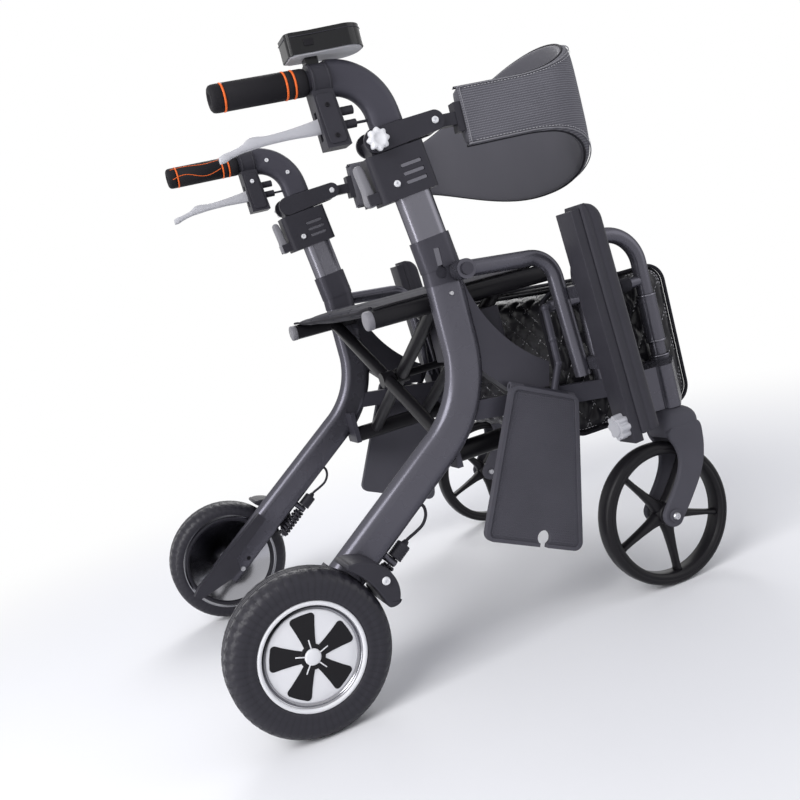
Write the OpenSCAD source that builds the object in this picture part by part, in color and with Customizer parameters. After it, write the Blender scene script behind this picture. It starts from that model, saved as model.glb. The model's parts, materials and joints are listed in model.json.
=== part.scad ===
// Folding rollator transport chair with two hub-motor wheels.
// Millimetres, +X forwards to the casters, +Y left, +Z up, standing on Z = 0.
// Side pieces are written once, outboard towards +Y, and mirrored for the right side.

/* [Drive wheels] */
// Radius of the drive tyres
drive_r = 102.5; // [95:0.5:110]
// Width of the drive tyres
drive_w = 54; // [48:1:56]
// Distance of the drive wheel planes from the middle
drive_y = 290; // [289:1:300]
// Radius where tyre and hub meet
hub_r = 72; // [66:1:80]
// Radius of the fixed drive axles
axle_r = 8; // [6:0.5:10]

/* [Casters] */
// Radius of the caster wheels
caster_r = 100; // [90:1:102]
// Width of the caster wheels
caster_w = 28; // [20:1:30]
// Steering axis, forward of the drive axle
caster_x = 577; // [572:1:590]
// Distance of the caster planes from the middle
caster_y = 288; // [286:1:294]
// Trail of the caster axle behind the steering axis
caster_trail = 50; // [42:1:54]
// Number of caster spokes
spoke_count = 5; // [3:1:8]
// Radius of the caster axles
caster_axle_r = 5; // [4:0.5:7]
// Radius of the steering stems
steer_r = 8; // [6:0.5:10]
// Height of the underside of the front head
head_z = 240; // [236:1:250]
// Thickness of a fork arm
fork_t = 8; // [6:0.5:10]

/* [Rear legs] */
// Leg axis above the bow, forward of the drive axle
leg_x = 311; // [300:1:320]
// Distance of the leg planes from the middle
leg_y = 242; // [240:1:243]
// Depth of the oval leg tube, seen from the side
leg_d = 52; // [44:1:56]
// Thickness of the oval leg tube across the chair
leg_t = 30; // [26:1:30]
// Radius of the bow at its middle line
leg_bow_r = 150; // [120:5:170]
// Angle that the leg turns through
leg_turn = 54.6; // [50:0.1:58]
// Height of the leg top
leg_top = 484; // [478:1:486]

/* [Posts and handles] */
// Backward lean of the posts in degrees
post_lean = 7; // [4:0.5:9]
// Height where the post axis meets the leg axis
post_z = 505; // [500:1:510]
// Depth of the oval post
post_d = 50; // [48:0.5:52]
// Thickness of the oval post
post_t = 32; // [30:0.5:32]
// Depth of the sliding stem
stem_d = 40; // [36:1:42]
// Thickness of the sliding stem
stem_t = 24; // [20:1:25]
// Sliding clearance round the stem
slide_gap = 0.3; // [0.2:0.05:0.6]
// Depth of the handle bend
bend_d = 46; // [42:1:46]
// Thickness of the handle bend
bend_t = 26; // [24:0.5:26.5]
// Radius of the handle bend at its middle line
bend_r = 60; // [50:1:70]
// Height of the grips
grip_z = 766; // [750:1:790]
// Radius of the grips
grip_r = 17; // [15:0.5:19]
// Length of the grips
grip_len = 122; // [100:1:124]
// Radius of the bar inside the grips
bar_r = 13; // [10:0.5:14]
// Rear end of the grips, forward of the drive axle
grip_x = 75; // [65:1:90]

/* [Clamp housings] */
// Depth of the housing underside below the handle bend, along the post
house_low = 110; // [105:1:130]
// Depth of the housing top below the handle bend, along the post
house_top = 49; // [48:1:60]
// Reach of the housing behind the post axis
house_back = 48; // [46:1:52]
// Reach of the housing in front of the post axis
house_front = 34; // [30:1:38]
// Half width of the housing and of the backrest arms
house_half = 18; // [17.5:0.1:18]
// Number of slots on each face of the housing
slot_count = 3; // [1:1:4]
// Length of a slot
slot_len = 30; // [20:1:34]
// Spacing of the slots
slot_pitch = 11; // [8:0.5:12]
// Radius of the cam lever pin
cam_pin_r = 3; // [2:0.5:4]

/* [Brakes] */
// Radius of the brake lever pin
lever_pin_r = 3; // [2:0.5:4]
// Thickness of the brake lever
lever_t = 8; // [6:0.5:9]
// Gap between brake shoe and tyre
shoe_gap = 5; // [4:0.5:8]
// Thickness of the brake shoe
shoe_t = 15; // [9:1:16]
// Radius of the brake shoe pin
shoe_pin_r = 5; // [4:0.5:6]
// Radius of the brake cable sleeve
cable_r = 2.4; // [1.8:0.1:3]
// Number of curls of the return spring
spring_curls = 6; // [4:1:8]
// Radius of the return spring
spring_r = 7; // [6:0.5:8]
// Radius of the spring wire
spring_wire = 1.3; // [0.8:0.1:1.6]

/* [Backrest] */
// Depth of the arm pivots below the handle bend, along the post
arm_u = 32.5; // [31:0.5:33]
// Distance of the arm pivots behind the post axis
arm_back = 28; // [27:0.5:30]
// Distance of the arm eyes in front of the post axis
arm_front = 58; // [54:1:66]
// Radius of the arm pivot pins
arm_pin_r = 5; // [4:0.5:5.5]
// Radius of the eye pins
eye_pin_r = 4; // [3:0.5:5]
// Thickness of an arm cheek
arm_t = 4.4; // [3.5:0.1:4.6]
// Radius of the star knobs
knob_r = 17; // [14:0.5:19]
// Number of knob lobes
knob_lobes = 8; // [5:1:10]
// Rear end of the band, forward of the drive axle
band_rear = 392; // [386:1:400]
// Front of the band, forward of the drive axle
band_front = 646; // [620:1:660]
// Length of the straight band ends
band_straight = 128; // [80:1:140]
// Thickness of the band
band_t = 20; // [14:1:24]
// Height of the band at its ends
band_end_h = 76; // [60:1:80]
// Height of the band at its front
band_mid_h = 218; // [150:1:230]

/* [Armrests] */
// Armrest pivot, forward of the leg axis
arm_piv_dx = 17; // [14:1:18]
// Height of the armrest pivot above the leg top
arm_piv_dz = 12; // [10:1:14]
// Radius of the armrest tube
armtube_r = 11; // [9:0.5:11]
// Radius of the armrest pivot pin
armpin_r = 5; // [4:0.5:6]
// Length from the pivot to the bent corner
armtube_fwd = 127; // [120:1:130]
// Length from the bent corner to the lower end
armtube_down = 168; // [150:1:175]
// Bend radius of the armrest tube
armtube_bend = 34; // [26:1:40]
// Downward tilt of the armrest tube when stowed
arm_tilt = 5; // [0:0.5:7]
// Angle of the bent corner
arm_corner = 82; // [80:1:86]
// Length of the armrest pad
pad_len = 308; // [260:1:312]
// Width of the armrest pad
pad_w = 41; // [34:1:46]
// Thickness of the armrest pad
pad_t = 31; // [22:1:34]
// Distance of the pad's inner face from the middle
pad_y = 304; // [303:1:310]

/* [Front frame] */
// Front leg of the loop, forward of the drive axle
loop_x = 612; // [606:1:620]
// Distance between the legs of the loop
loop_w = 100; // [90:1:104]
// Distance of the loop from the middle
loop_y = 238; // [236:1:240]
// Height of the loop's top axis
loop_z = 491; // [470:1:500]
// Radius of the loop tube
loop_r = 11; // [9:0.5:11]
// Radius of the sleeves on the loop's front leg
sleeve_r = 13.5; // [12.5:0.5:15]
// Height of the bag bar
bar_z = 416; // [410:1:425]
// Radius of the bag bar
bag_bar_r = 8; // [6:0.5:9]
// Height of the front head casting
head_h = 60; // [50:1:64]

/* [Seat and braces] */
// Height of the seat rail axes
seat_z = 462; // [455:1:468]
// Distance of the seat rails from the middle
rail_y = 210; // [206:0.5:210]
// Radius of the seat rails
rail_r = 12.5; // [11:0.5:12.5]
// Rear end of the seat rails
rail_rear = 205; // [195:1:220]
// Front end of the seat rails
rail_end = 488; // [470:1:492]
// Height of the lower brace pivots
brace_z = 258; // [250:1:264]
// Radius of the brace pivot rods
brace_rod_r = 10; // [8:0.5:10.5]
// Wall of the brace sleeves
brace_wall = 3.5; // [3:0.5:4]
// Radius of the brace tubes
brace_r = 10; // [8:0.5:10]
// Radius of the centre pin of the braces
brace_pin_r = 6; // [4:0.5:6.5]
// Rear plane of the outer brace tubes
brace_x = 282; // [280:1:284]
// Forward step from outer to inner brace tubes
brace_step = 24; // [23:0.5:25]
// Length between the brace pivot rod's holders
brace_len = 168; // [166:1:170]
// Thickness of the seat sling at its middle
seat_t = 18; // [10:1:22]

/* [Side rails and footplates] */
// Height of the side rail
side_h = 26; // [20:1:30]
// Thickness of the side rail
side_t = 18; // [14:1:20]
// Width of the footplate at its hinge
plate_top_w = 104; // [90:1:106]
// Length of the footplate
plate_len = 206; // [150:1:210]
// Width of the footplate at its free end
plate_low_w = 146; // [120:1:150]
// Thickness of the footplate
plate_t = 10; // [7:0.5:11]
// Radius of the footplate hinge pin
plate_pin_r = 3; // [2:0.5:4]

/* [Bag, battery and controller] */
// Rear of the storage bag
bag_rear = 452; // [450:1:470]
// Front of the storage bag
bag_front = 664; // [600:1:670]
// Gap between the bag's sides and the front loops
bag_gap = 9; // [8:0.5:30]
// Underside of the storage bag
bag_low = 224; // [215:1:240]
// Top of the storage bag
bag_top = 434; // [420:1:440]
// Wall of the storage bag
bag_wall = 8; // [5:1:12]
// Length of the battery box
battery_len = 70; // [60:1:72]
// Width of the battery box
battery_w = 104; // [80:1:108]
// Height of the battery box
battery_h = 62; // [50:1:64]
// Length of the controller
box_len = 102; // [90:1:110]
// Half width of the controller
box_half = 27; // [22:1:30]
// Height of the controller
box_h = 26; // [20:1:30]
// Radius of the controller button
button_r = 9; // [7:0.5:10]

/* [Clearances] */
// Radial clearance of running pins
run = 0.05; // [0.02:0.01:0.1]
// Gap between faces of pieces that move past each other
gap = 0.4; // [0.3:0.05:0.6]

/* [Hidden] */
$fn = 48;

graphite = [0.29, 0.28, 0.32];
black = [0.11, 0.11, 0.12];
pale = [0.78, 0.78, 0.79];
satin = [0.5, 0.5, 0.54];

// Tubes draw in by this much where they are bent
draw = 0.4;

// The origin lies under the middle of the whole chair
mid_x = (max(bag_front, band_front) - drive_r) / 2;

// Leg path: straight, bow, then straight to the drive axle
leg_run = (leg_x - leg_bow_r * (1 - cos(leg_turn))) / sin(leg_turn);
leg_bow_z = drive_r + leg_bow_r * sin(leg_turn) + leg_run * cos(leg_turn);
leg_bow_end = [leg_x - leg_bow_r * (1 - cos(leg_turn)), leg_y, leg_bow_z - leg_bow_r * sin(leg_turn)];
leg_end = 22;
leg_in = leg_y - leg_t / 2;
leg_out = leg_y + leg_t / 2;

// A point at distance s up the lower leg and n below its middle line
function on_leg(s, n, y) = [
    s * sin(leg_turn) + n * cos(leg_turn),
    y,
    drive_r + s * cos(leg_turn) - n * sin(leg_turn)
];

// A point in the post's frame: v forwards across the post, u up along it
function on_post(v, y, u) = [
    leg_x + v * cos(post_lean) - u * sin(post_lean),
    leg_y + y,
    post_z + v * sin(post_lean) + u * cos(post_lean)
];

bend_u = (grip_z - post_z - bend_r * (1 - sin(post_lean))) / cos(post_lean);
bend_end = leg_x - bend_u * sin(post_lean) - bend_r * cos(post_lean);
low_u = bend_u - house_low;
top_u = bend_u - house_top;
pivot_u = bend_u - arm_u;
arm_r = 15.5;
rim_u = pivot_u + arm_r + gap;
eye_r = 13;
cheek_in = house_half - arm_t;
post_foot = 4;
stem_foot = post_foot + 4;
casting_top = 0.42 * low_u;
casting_half = 17;

// Armrest
arm_piv = [leg_x + arm_piv_dx, leg_top + arm_piv_dz];
arm_half = armtube_r + 1.5;
arm_y = leg_y + casting_half + gap + arm_half;

// Braces: both lie on the line from a lower pivot through the centre to the rail
brace_mid_z = (brace_z + seat_z) / 2;
brace_front = brace_x + brace_len - 24;
sleeve_ends = [brace_x - 10, brace_x - 10 + brace_len - 4];

bag_half = loop_y - loop_r - bag_gap;

// Side rail ends, at the leg and at the front head
side_rear = [leg_x - 21, 314];
side_front = [loop_x - 76, head_z + head_h / 2 + 10];

// Footplate hinge line: its front end and its direction
plate_front = [450, 288];
plate_slope = 25;
plate_y = leg_out + 5 + plate_t / 2;
plate_dir = [cos(plate_slope), 0, -sin(plate_slope)];
// The hinge lies behind the plate, which rises above it
hinge_in = 7;
plate_rise = 2.6;
plate_back = 4;
plate_corner = 12;
knuckle_r = plate_pin_r + 3.5;

/* Shared shapes */

// Oval section, d long in x and t wide in y
module oval(d, t) {
    square([d - t, t], center = true);
    for (side = [-1, 1])
        translate([side * (d - t) / 2, 0])
            circle(t / 2);
}

// Cylinder between two points
module bar(p, q, r) {
    way = q - p;
    long = norm(way);
    translate(p)
        rotate([0, acos(way[2] / long), atan2(way[1], way[0])])
            cylinder(h = long, r = r);
}

// Cylinder along the chair, and one across it
module rod_x(x0, x1, y, z, r) {
    translate([x0, y, z])
        rotate([0, 90, 0])
            cylinder(h = x1 - x0, r = r);
}

module rod_y(x, y0, y1, z, r) {
    translate([x, y0, z])
        rotate([-90, 0, 0])
            cylinder(h = y1 - y0, r = r);
}

module block(low, high) {
    translate(low)
        cube(high - low);
}

// A flat side outline in x and z, from y0 to y1
module side_plate(y0, y1) {
    translate([0, y1, 0])
        rotate([90, 0, 0])
            linear_extrude(y1 - y0)
                children();
}

// Two circles joined by their common flanks
module tapered_link(p, rp, q, rq) {
    way = q - p;
    turn = atan2(way[1], way[0]);
    lean = acos((rp - rq) / norm(way));
    up = [cos(turn + lean), sin(turn + lean)];
    down = [cos(turn - lean), sin(turn - lean)];
    translate(p)
        circle(rp);
    translate(q)
        circle(rq);
    polygon([p + rp * up, p + rp * down, q + rq * down, q + rq * up]);
}

module rounded_rect(low, high, r) {
    translate([low[0] + r, low[1]])
        square([high[0] - low[0] - 2 * r, high[1] - low[1]]);
    translate([low[0], low[1] + r])
        square([high[0] - low[0], high[1] - low[1] - 2 * r]);
    for (x = [low[0] + r, high[0] - r], y = [low[1] + r, high[1] - r])
        translate([x, y])
            circle(r);
}

// Upright frame of the leaning post
module post_frame() {
    translate([leg_x, leg_y, post_z])
        rotate([0, -post_lean, 0])
            children();
}

// Closed skin over rings of points, with flat ends
module loft(rings) {
    sides = len(rings[0]);
    last = len(rings) - 1;
    points = [for (ring = rings) each ring];
    walls = [
        for (i = [0:last - 1], j = [0:sides - 1])
            let (k = (j + 1) % sides, a = i * sides, b = a + sides)
                each [[a + j, b + j, b + k], [a + j, b + k, a + k]]
    ];
    near_end = [for (j = [1:sides - 2]) [0, j, j + 1]];
    far_end = [for (j = [1:sides - 2]) [last * sides, last * sides + j + 1, last * sides + j]];
    polyhedron(points, concat(walls, near_end, far_end));
}

function smooth(t) = t <= 0 ? 0 : t >= 1 ? 1 : t * t * (3 - 2 * t);

/* Legs, castings and posts */

module leg_shape() {
    translate([leg_x, leg_y, leg_bow_z - 1])
        linear_extrude(leg_top - leg_bow_z + 1)
            oval(leg_d, leg_t);
    translate([leg_x - leg_bow_r, leg_y, leg_bow_z])
        rotate([90, 0, 0])
            rotate([0, 0, -leg_turn])
                rotate_extrude(angle = leg_turn)
                    translate([leg_bow_r, 0])
                        oval(leg_d - draw, leg_t - draw);
    translate(leg_bow_end)
        rotate([0, 180 + leg_turn, 0])
            translate([0, 0, -1])
                linear_extrude(leg_run + leg_end + 1)
                    oval(leg_d, leg_t);
}

// Brake tab under the lower leg
tab_s = 148;
tab_n = leg_d / 2 + 13;
pull_r = 2.5;
shoe_pin = on_leg(122, 18, 0);

module rear_leg() {
    color(graphite)
        difference() {
            union() {
                leg_shape();
                rod_y(0, leg_out - 1, drive_y + 14, drive_r, axle_r);
                rod_y(shoe_pin[0], leg_out - 4, drive_y + 6, shoe_pin[2], shoe_pin_r);
                bar(on_leg(tab_s, leg_d / 2 - 6, leg_y), on_leg(tab_s, tab_n + 6, leg_y), 5);
            }
            bar(on_leg(tab_s - 8, tab_n, leg_y), on_leg(tab_s + 8, tab_n, leg_y), pull_r + run);
        }
}

module post_hollow(r_grow) {
    translate([0, 0, post_foot])
        linear_extrude(top_u + 60)
            oval(post_d + 2 * r_grow, post_t + 2 * r_grow);
}

// Curved gusset in front of the leg
fin_in = leg_in + 2;
fin_out = leg_out - 7;
fin_r = 205;
fin_centre = [leg_x + 225, leg_top + 37];
fin_tip = [leg_x + 119, side_rear[1] + 32];

module fin_outline() {
    difference() {
        polygon([
            [leg_x, leg_top],
            [leg_x + 27, leg_top],
            [fin_tip[0], fin_tip[1]],
            [fin_tip[0] - 9, side_rear[1] - 1],
            [leg_x + 54, side_rear[1] + 8],
            [leg_x + 15, side_rear[1] + 50],
            [leg_x, side_rear[1] + 90]
        ]);
        translate(fin_centre)
            circle(fin_r, $fn = 96);
    }
}

module side_casting() {
    color(graphite)
        difference() {
            union() {
                translate([leg_x, leg_y, leg_top])
                    linear_extrude(post_z - leg_top + 14)
                        oval(leg_d + 2, leg_t + 1);
                post_frame()
                    linear_extrude(casting_top)
                        oval(post_d + 6, 2 * casting_half);
                side_plate(fin_in, fin_out)
                    fin_outline();
                rod_y(arm_piv[0], leg_y, arm_y - arm_half - gap, arm_piv[1], armpin_r + 5);
                rod_y(arm_piv[0], leg_y, arm_y + arm_half + 4, arm_piv[1], armpin_r);
                rod_y(arm_piv[0], arm_y + arm_half + gap, arm_y + arm_half + 4, arm_piv[1], armpin_r + 3);
                cradle();
            }
            leg_shape();
            post_frame()
                post_hollow(0);
            rod_y(leg_x - 6, leg_out - 3, leg_out + 4, post_z - 6, 8);
            block(
                [leg_x - 10, leg_out - 3, post_z - 6],
                [leg_x - 2, leg_out + 4, post_z + 26]
            );
            rod_x(0, rail_end, rail_y, seat_z, rail_r + gap);
        }
}

// Rest for the seat rail on the inner side of the leg
module cradle() {
    block(
        [brace_x + brace_step + brace_r + 3, rail_y - rail_r - 4, seat_z - rail_r - 8],
        [leg_x + leg_d / 2 - 1, leg_in + 4, seat_z]
    );
}

module upper_post() {
    color(satin)
        post_frame()
            difference() {
                translate([0, 0, post_foot])
                    linear_extrude(top_u - post_foot)
                        oval(post_d, post_t);
                translate([0, 0, stem_foot - 2])
                    linear_extrude(top_u)
                        oval(stem_d + 2 * slide_gap, stem_t + 2 * slide_gap);
            }
}

/* Clamp housing, cam lever and backrest arm, drawn in the post's frame */

cam_v = -house_back - 9;
cam_u = low_u + 11;
cam_half = 8;

module clamp_housing() {
    color(black)
        post_frame()
            difference() {
                union() {
                    translate([0, 0, low_u])
                        linear_extrude(top_u - low_u)
                            rounded_rect([-house_back, -house_half], [house_front, house_half], 8);
                    // Ear and pin of the backrest arm
                    block(
                        [-arm_back - 10, -cheek_in + gap, top_u - 1],
                        [-stem_d / 2 - slide_gap, cheek_in - gap, pivot_u + 4]
                    );
                    rod_y(-arm_back, -house_half, house_half + 5, pivot_u, arm_pin_r);
                    // Ears and pin of the cam lever
                    for (side = [-1, 1])
                        translate([0, side * (cam_half + gap + 2), 0])
                            block(
                                [cam_v - 6, -2, cam_u - 7],
                                [-house_back + 4, 2, cam_u + 7]
                            );
                    rod_y(cam_v, -cam_half - 2, cam_half + 2, cam_u, cam_pin_r);
                }
                translate([0, 0, low_u - 1])
                    linear_extrude(top_u - low_u + 1)
                        oval(post_d, post_t);
                translate([0, 0, low_u])
                    linear_extrude(top_u)
                        oval(stem_d + 2 * slide_gap, stem_t + 2 * slide_gap);
                for (i = [0:slot_count - 1], side = [-1, 1])
                    translate([6, side * (house_half + post_t / 2) / 2, low_u + 16 + i * slot_pitch])
                        cube([slot_len, house_half - post_t / 2, 5], center = true);
            }
}

module cam_lever() {
    color(pale)
        post_frame()
            difference() {
                union() {
                    rod_y(cam_v, -cam_half, cam_half, cam_u, 8);
                    block(
                        [cam_v - 1, -cam_half, cam_u],
                        [cam_v + 6, cam_half, top_u - 5]
                    );
                }
                rod_y(cam_v, -cam_half - 1, cam_half + 1, cam_u, cam_pin_r + run);
            }
}

module backrest_arm() {
    color(black)
        post_frame()
            difference() {
                union() {
                    for (y = [cheek_in, -house_half])
                        side_plate(y, y + arm_t)
                            tapered_link([-arm_back, pivot_u], arm_r, [arm_front, pivot_u], eye_r);
                    block(
                        [arm_front - 22, -cheek_in - 1, pivot_u - 8],
                        [arm_front - eye_r - 1, cheek_in + 1, pivot_u + 8]
                    );
                    rod_y(arm_front, -house_half, house_half, pivot_u, eye_pin_r);
                }
                rod_y(-arm_back, -house_half - 1, house_half + 1, pivot_u, arm_pin_r + run);
            }
}

eye = on_post(arm_front, 0, pivot_u);

module backrest_link() {
    tongue = cheek_in - gap;
    color(black)
        difference() {
            union() {
                rod_y(eye[0], leg_y - tongue, leg_y + tongue, eye[2], eye_r - 0.5);
                block(
                    [eye[0] + 6, leg_y - 7, eye[2] - 9],
                    [band_rear - 9, leg_y + 7, eye[2] + 7]
                );
                block(
                    [band_rear - 10, leg_y - 8, eye[2] - band_end_h / 4],
                    [band_rear - gap, leg_y + 8, eye[2] + band_end_h / 4]
                );
            }
            rod_y(eye[0], leg_y - tongue - 1, leg_y + tongue + 1, eye[2], eye_pin_r + run);
        }
}

// Lobed hand knob along +Z with a socket in its base
module star_knob(r, h, lobes, socket_r, socket_h) {
    difference() {
        union() {
            linear_extrude(h - 2) {
                circle(r - 3);
                for (i = [0:lobes - 1])
                    rotate(i * 360 / lobes)
                        translate([r - 4, 0])
                            circle(4);
            }
            cylinder(h = h, r = r - 6);
        }
        translate([0, 0, -1])
            cylinder(h = socket_h + 1, r = socket_r);
    }
}

module backrest_knob() {
    color(pale)
        translate(on_post(-arm_back, house_half + gap, pivot_u))
            rotate([-90, 0, 0])
                star_knob(knob_r, 15, knob_lobes, arm_pin_r + run, 6);
}

/* Handles and hand brakes */

module handle_shape() {
    post_frame() {
        translate([0, 0, stem_foot])
            linear_extrude(rim_u - stem_foot)
                oval(stem_d, stem_t);
        translate([0, 0, rim_u])
            linear_extrude(bend_u - rim_u + 1)
                oval(bend_d, bend_t);
        translate([-bend_r, 0, bend_u])
            rotate([90, 0, 0])
                rotate_extrude(angle = 90 - post_lean)
                    translate([bend_r, 0])
                        oval(bend_d - draw, bend_t - draw);
    }
    rod_x(grip_x + 4, bend_end + 5, leg_y, grip_z, bar_r);
}

module handle_tube() {
    color(black)
        handle_shape();
}

module grip() {
    color(black)
        difference() {
            rod_x(grip_x, grip_x + grip_len, leg_y, grip_z, grip_r);
            rod_x(grip_x + 4, grip_x + grip_len + 1, leg_y, grip_z, bar_r);
        }
}

clamp_x = grip_x + grip_len + 3;
brake_low = grip_z - 85;
brake_half = 14;
lever_pin = [clamp_x + 8, grip_z - 54];

module brake_housing() {
    color(black)
        difference() {
            union() {
                rod_x(clamp_x, bend_end, leg_y, grip_z, bar_r + 7);
                side_plate(leg_y - brake_half, leg_y + brake_half)
                    polygon([
                        [clamp_x - 2, grip_z - 14],
                        [bend_end - 1, grip_z - 14],
                        [bend_end + 6, brake_low],
                        [clamp_x, brake_low]
                    ]);
                for (drop = [42, 59])
                    rod_x(bend_end, bend_end + 22, leg_y, grip_z - drop, 5.5);
                rod_x(bend_end + 20, leg_x - 26, leg_y, grip_z - 59, 1.8);
            }
            handle_shape();
            block(
                [clamp_x - 10, leg_y - lever_t / 2 - gap, lever_pin[1] - 20],
                [lever_pin[0] + 10, leg_y + lever_t / 2 + gap, lever_pin[1] + 16]
            );
        }
    color(black)
        rod_y(lever_pin[0], leg_y - lever_t / 2 - 3, leg_y + lever_t / 2 + 3, lever_pin[1], lever_pin_r);
}

module brake_lever() {
    knuckle = [grip_x + 32, grip_z - 62];
    tip = [grip_x - 4, grip_z - 71];
    neck = [lever_pin[0] - 26, lever_pin[1] - 1];
    color(pale)
        difference() {
            side_plate(leg_y - lever_t / 2, leg_y + lever_t / 2) {
                tapered_link(lever_pin, 8.5, neck, 6);
                tapered_link(neck, 6, knuckle, 5);
                tapered_link(knuckle + [6, 3], 7, knuckle - [12, 3], 4.5);
                tapered_link(knuckle - [12, 3], 4.5, tip, 5.5);
            }
            rod_y(lever_pin[0], 0, leg_y + lever_t, lever_pin[1], lever_pin_r + run);
        }
}

/* Armrests, drawn level from the pivot and then tilted down */

module armrest_frame() {
    translate([arm_piv[0], arm_y, arm_piv[1]])
        rotate([0, arm_tilt, 0])
            children();
}

// Frame of the hanging part, with z down from the bent corner
module hanging_frame() {
    translate([armtube_fwd, 0, 0])
        rotate([0, 90 + arm_corner, 0])
            children();
}

corner_back = armtube_bend * tan(arm_corner / 2);
rail_in = pad_y - arm_y;
rail_back = 18 - armtube_r;
rail_depth = 13;
pad_start = -52;
pad_nose = pad_t * 0.8;
knob_drop = pad_start + pad_len - 16;

module armrest_tube() {
    color(graphite)
        armrest_frame()
            difference() {
                union() {
                    rod_y(0, -arm_half, arm_half, 0, armtube_r + 2);
                    rod_x(0, armtube_fwd - corner_back + 1, 0, 0, armtube_r);
                    translate([armtube_fwd - corner_back, 0, -armtube_bend])
                        rotate([90, 0, 0])
                            rotate([0, 0, 90 - arm_corner])
                                rotate_extrude(angle = arm_corner)
                                    translate([armtube_bend, 0])
                                        circle(armtube_r - draw / 2);
                    hanging_frame()
                        translate([0, 0, corner_back - 1])
                            cylinder(h = armtube_down - corner_back + 1, r = armtube_r);
                    // Rail outside the tube, and the two blocks that carry it
                    hanging_frame() {
                        block(
                            [-rail_back - rail_depth, rail_in, pad_start + 6],
                            [-rail_back, rail_in + pad_w - 4, pad_start + pad_len + 8]
                        );
                        for (drop = [corner_back + 18, armtube_down - 22])
                            block(
                                [-rail_back - rail_depth, 0, drop],
                                [-rail_back, rail_in + 6, drop + 16]
                            );
                        translate([-rail_back + 1, rail_in + pad_w / 2, knob_drop])
                            rotate([0, 90, 0])
                                translate([0, 0, -2])
                                    cylinder(h = 12, r = 4);
                    }
                }
                rod_y(0, -arm_half - 1, arm_half + 1, 0, armpin_r + run);
            }
}

module armrest_pad() {
    color(black)
        armrest_frame()
            hanging_frame()
                translate([-rail_back - rail_depth - pad_t, rail_in, pad_start])
                    difference() {
                        linear_extrude(pad_len)
                            rounded_rect([0, 0], [pad_t, pad_w], 7);
                        // Rounded nose at the upper end
                        side_plate(-1, pad_w + 1)
                            difference() {
                                translate([-1, -1])
                                    square(pad_nose + 1);
                                translate([pad_nose, pad_nose])
                                    circle(pad_nose);
                            }
                    }
}

module armrest_knob() {
    color(pale)
        armrest_frame()
            hanging_frame()
                translate([-rail_back + gap, rail_in + pad_w / 2, knob_drop])
                    rotate([0, 90, 0])
                        star_knob(knob_r, 15, knob_lobes, 4 + run, 12);
}

/* Front frame and casters */

loop_back = loop_x - loop_w;
loop_bend = loop_w / 2;
head_low = head_z;

module front_frame() {
    color(graphite)
        difference() {
            union() {
                translate([loop_x, loop_y, head_low])
                    cylinder(h = loop_z - loop_bend - head_low, r = loop_r);
                for (low = [head_low, head_low + head_h + 28])
                    translate([loop_x, loop_y, low])
                        cylinder(h = head_h + 6, r = sleeve_r);
                translate([loop_x - loop_bend, loop_y, loop_z - loop_bend])
                    rotate([90, 0, 0])
                        rotate_extrude(angle = 180)
                            translate([loop_bend, 0])
                                circle(loop_r);
                translate([loop_back, loop_y, side_front[1]])
                    cylinder(h = loop_z - loop_bend - side_front[1], r = loop_r);
                rod_x(loop_back - 56, loop_x, loop_y, bar_z, bag_bar_r);
                translate([0, 0, head_low])
                    linear_extrude(head_h) {
                        tapered_link([caster_x, caster_y], steer_r + 6, [loop_x, loop_y], 18);
                        translate([side_front[0], loop_y - 12])
                            square([loop_x - side_front[0], 24]);
                        polygon([
                            [side_front[0], loop_y],
                            [caster_x, loop_y],
                            [caster_x, caster_y + steer_r],
                            [caster_x - 30, caster_y]
                        ]);
                    }
            }
            translate([caster_x, caster_y, head_low - 1])
                cylinder(h = head_h - 6, r = steer_r + run);
            side_rail_shape();
        }
}

axle_x = caster_x - caster_trail;
fork_in = caster_w / 2 + 4;
fork_top = head_z - gap;
fork_crown = 2 * caster_r + 5;
fork_eye_r = 16;

module caster_fork() {
    color(graphite) {
        translate([caster_x, caster_y, fork_top - 1])
            cylinder(h = head_h - 12, r = steer_r);
        translate([0, 0, fork_crown])
            linear_extrude(fork_top - fork_crown)
                rounded_rect(
                    [caster_x - 32, caster_y - fork_in - fork_t],
                    [caster_x + 24, caster_y + fork_in + fork_t], 10
                );
        for (y = [caster_y + fork_in, caster_y - fork_in - fork_t])
            side_plate(y, y + fork_t) {
                polygon([
                    [caster_x - 32, fork_crown + 12],
                    [caster_x + 24, fork_crown + 12],
                    [caster_x + 23, fork_crown - 20],
                    [caster_x + 15, fork_crown - 48],
                    [axle_x + 14, caster_r - 6],
                    [axle_x - 14, caster_r + 6],
                    [caster_x - 23, fork_crown - 50],
                    [caster_x - 18, fork_crown - 30],
                    [caster_x - 24, fork_crown - 14],
                    [caster_x - 31, fork_crown - 3]
                ]);
                translate([axle_x, caster_r])
                    circle(fork_eye_r);
            }
        rod_y(axle_x, caster_y - fork_in - 1, caster_y + fork_in + fork_t + 3, caster_r, caster_axle_r);
        rod_y(axle_x, caster_y + fork_in + fork_t, caster_y + fork_in + fork_t + 3, caster_r, 9);
    }
}

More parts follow.
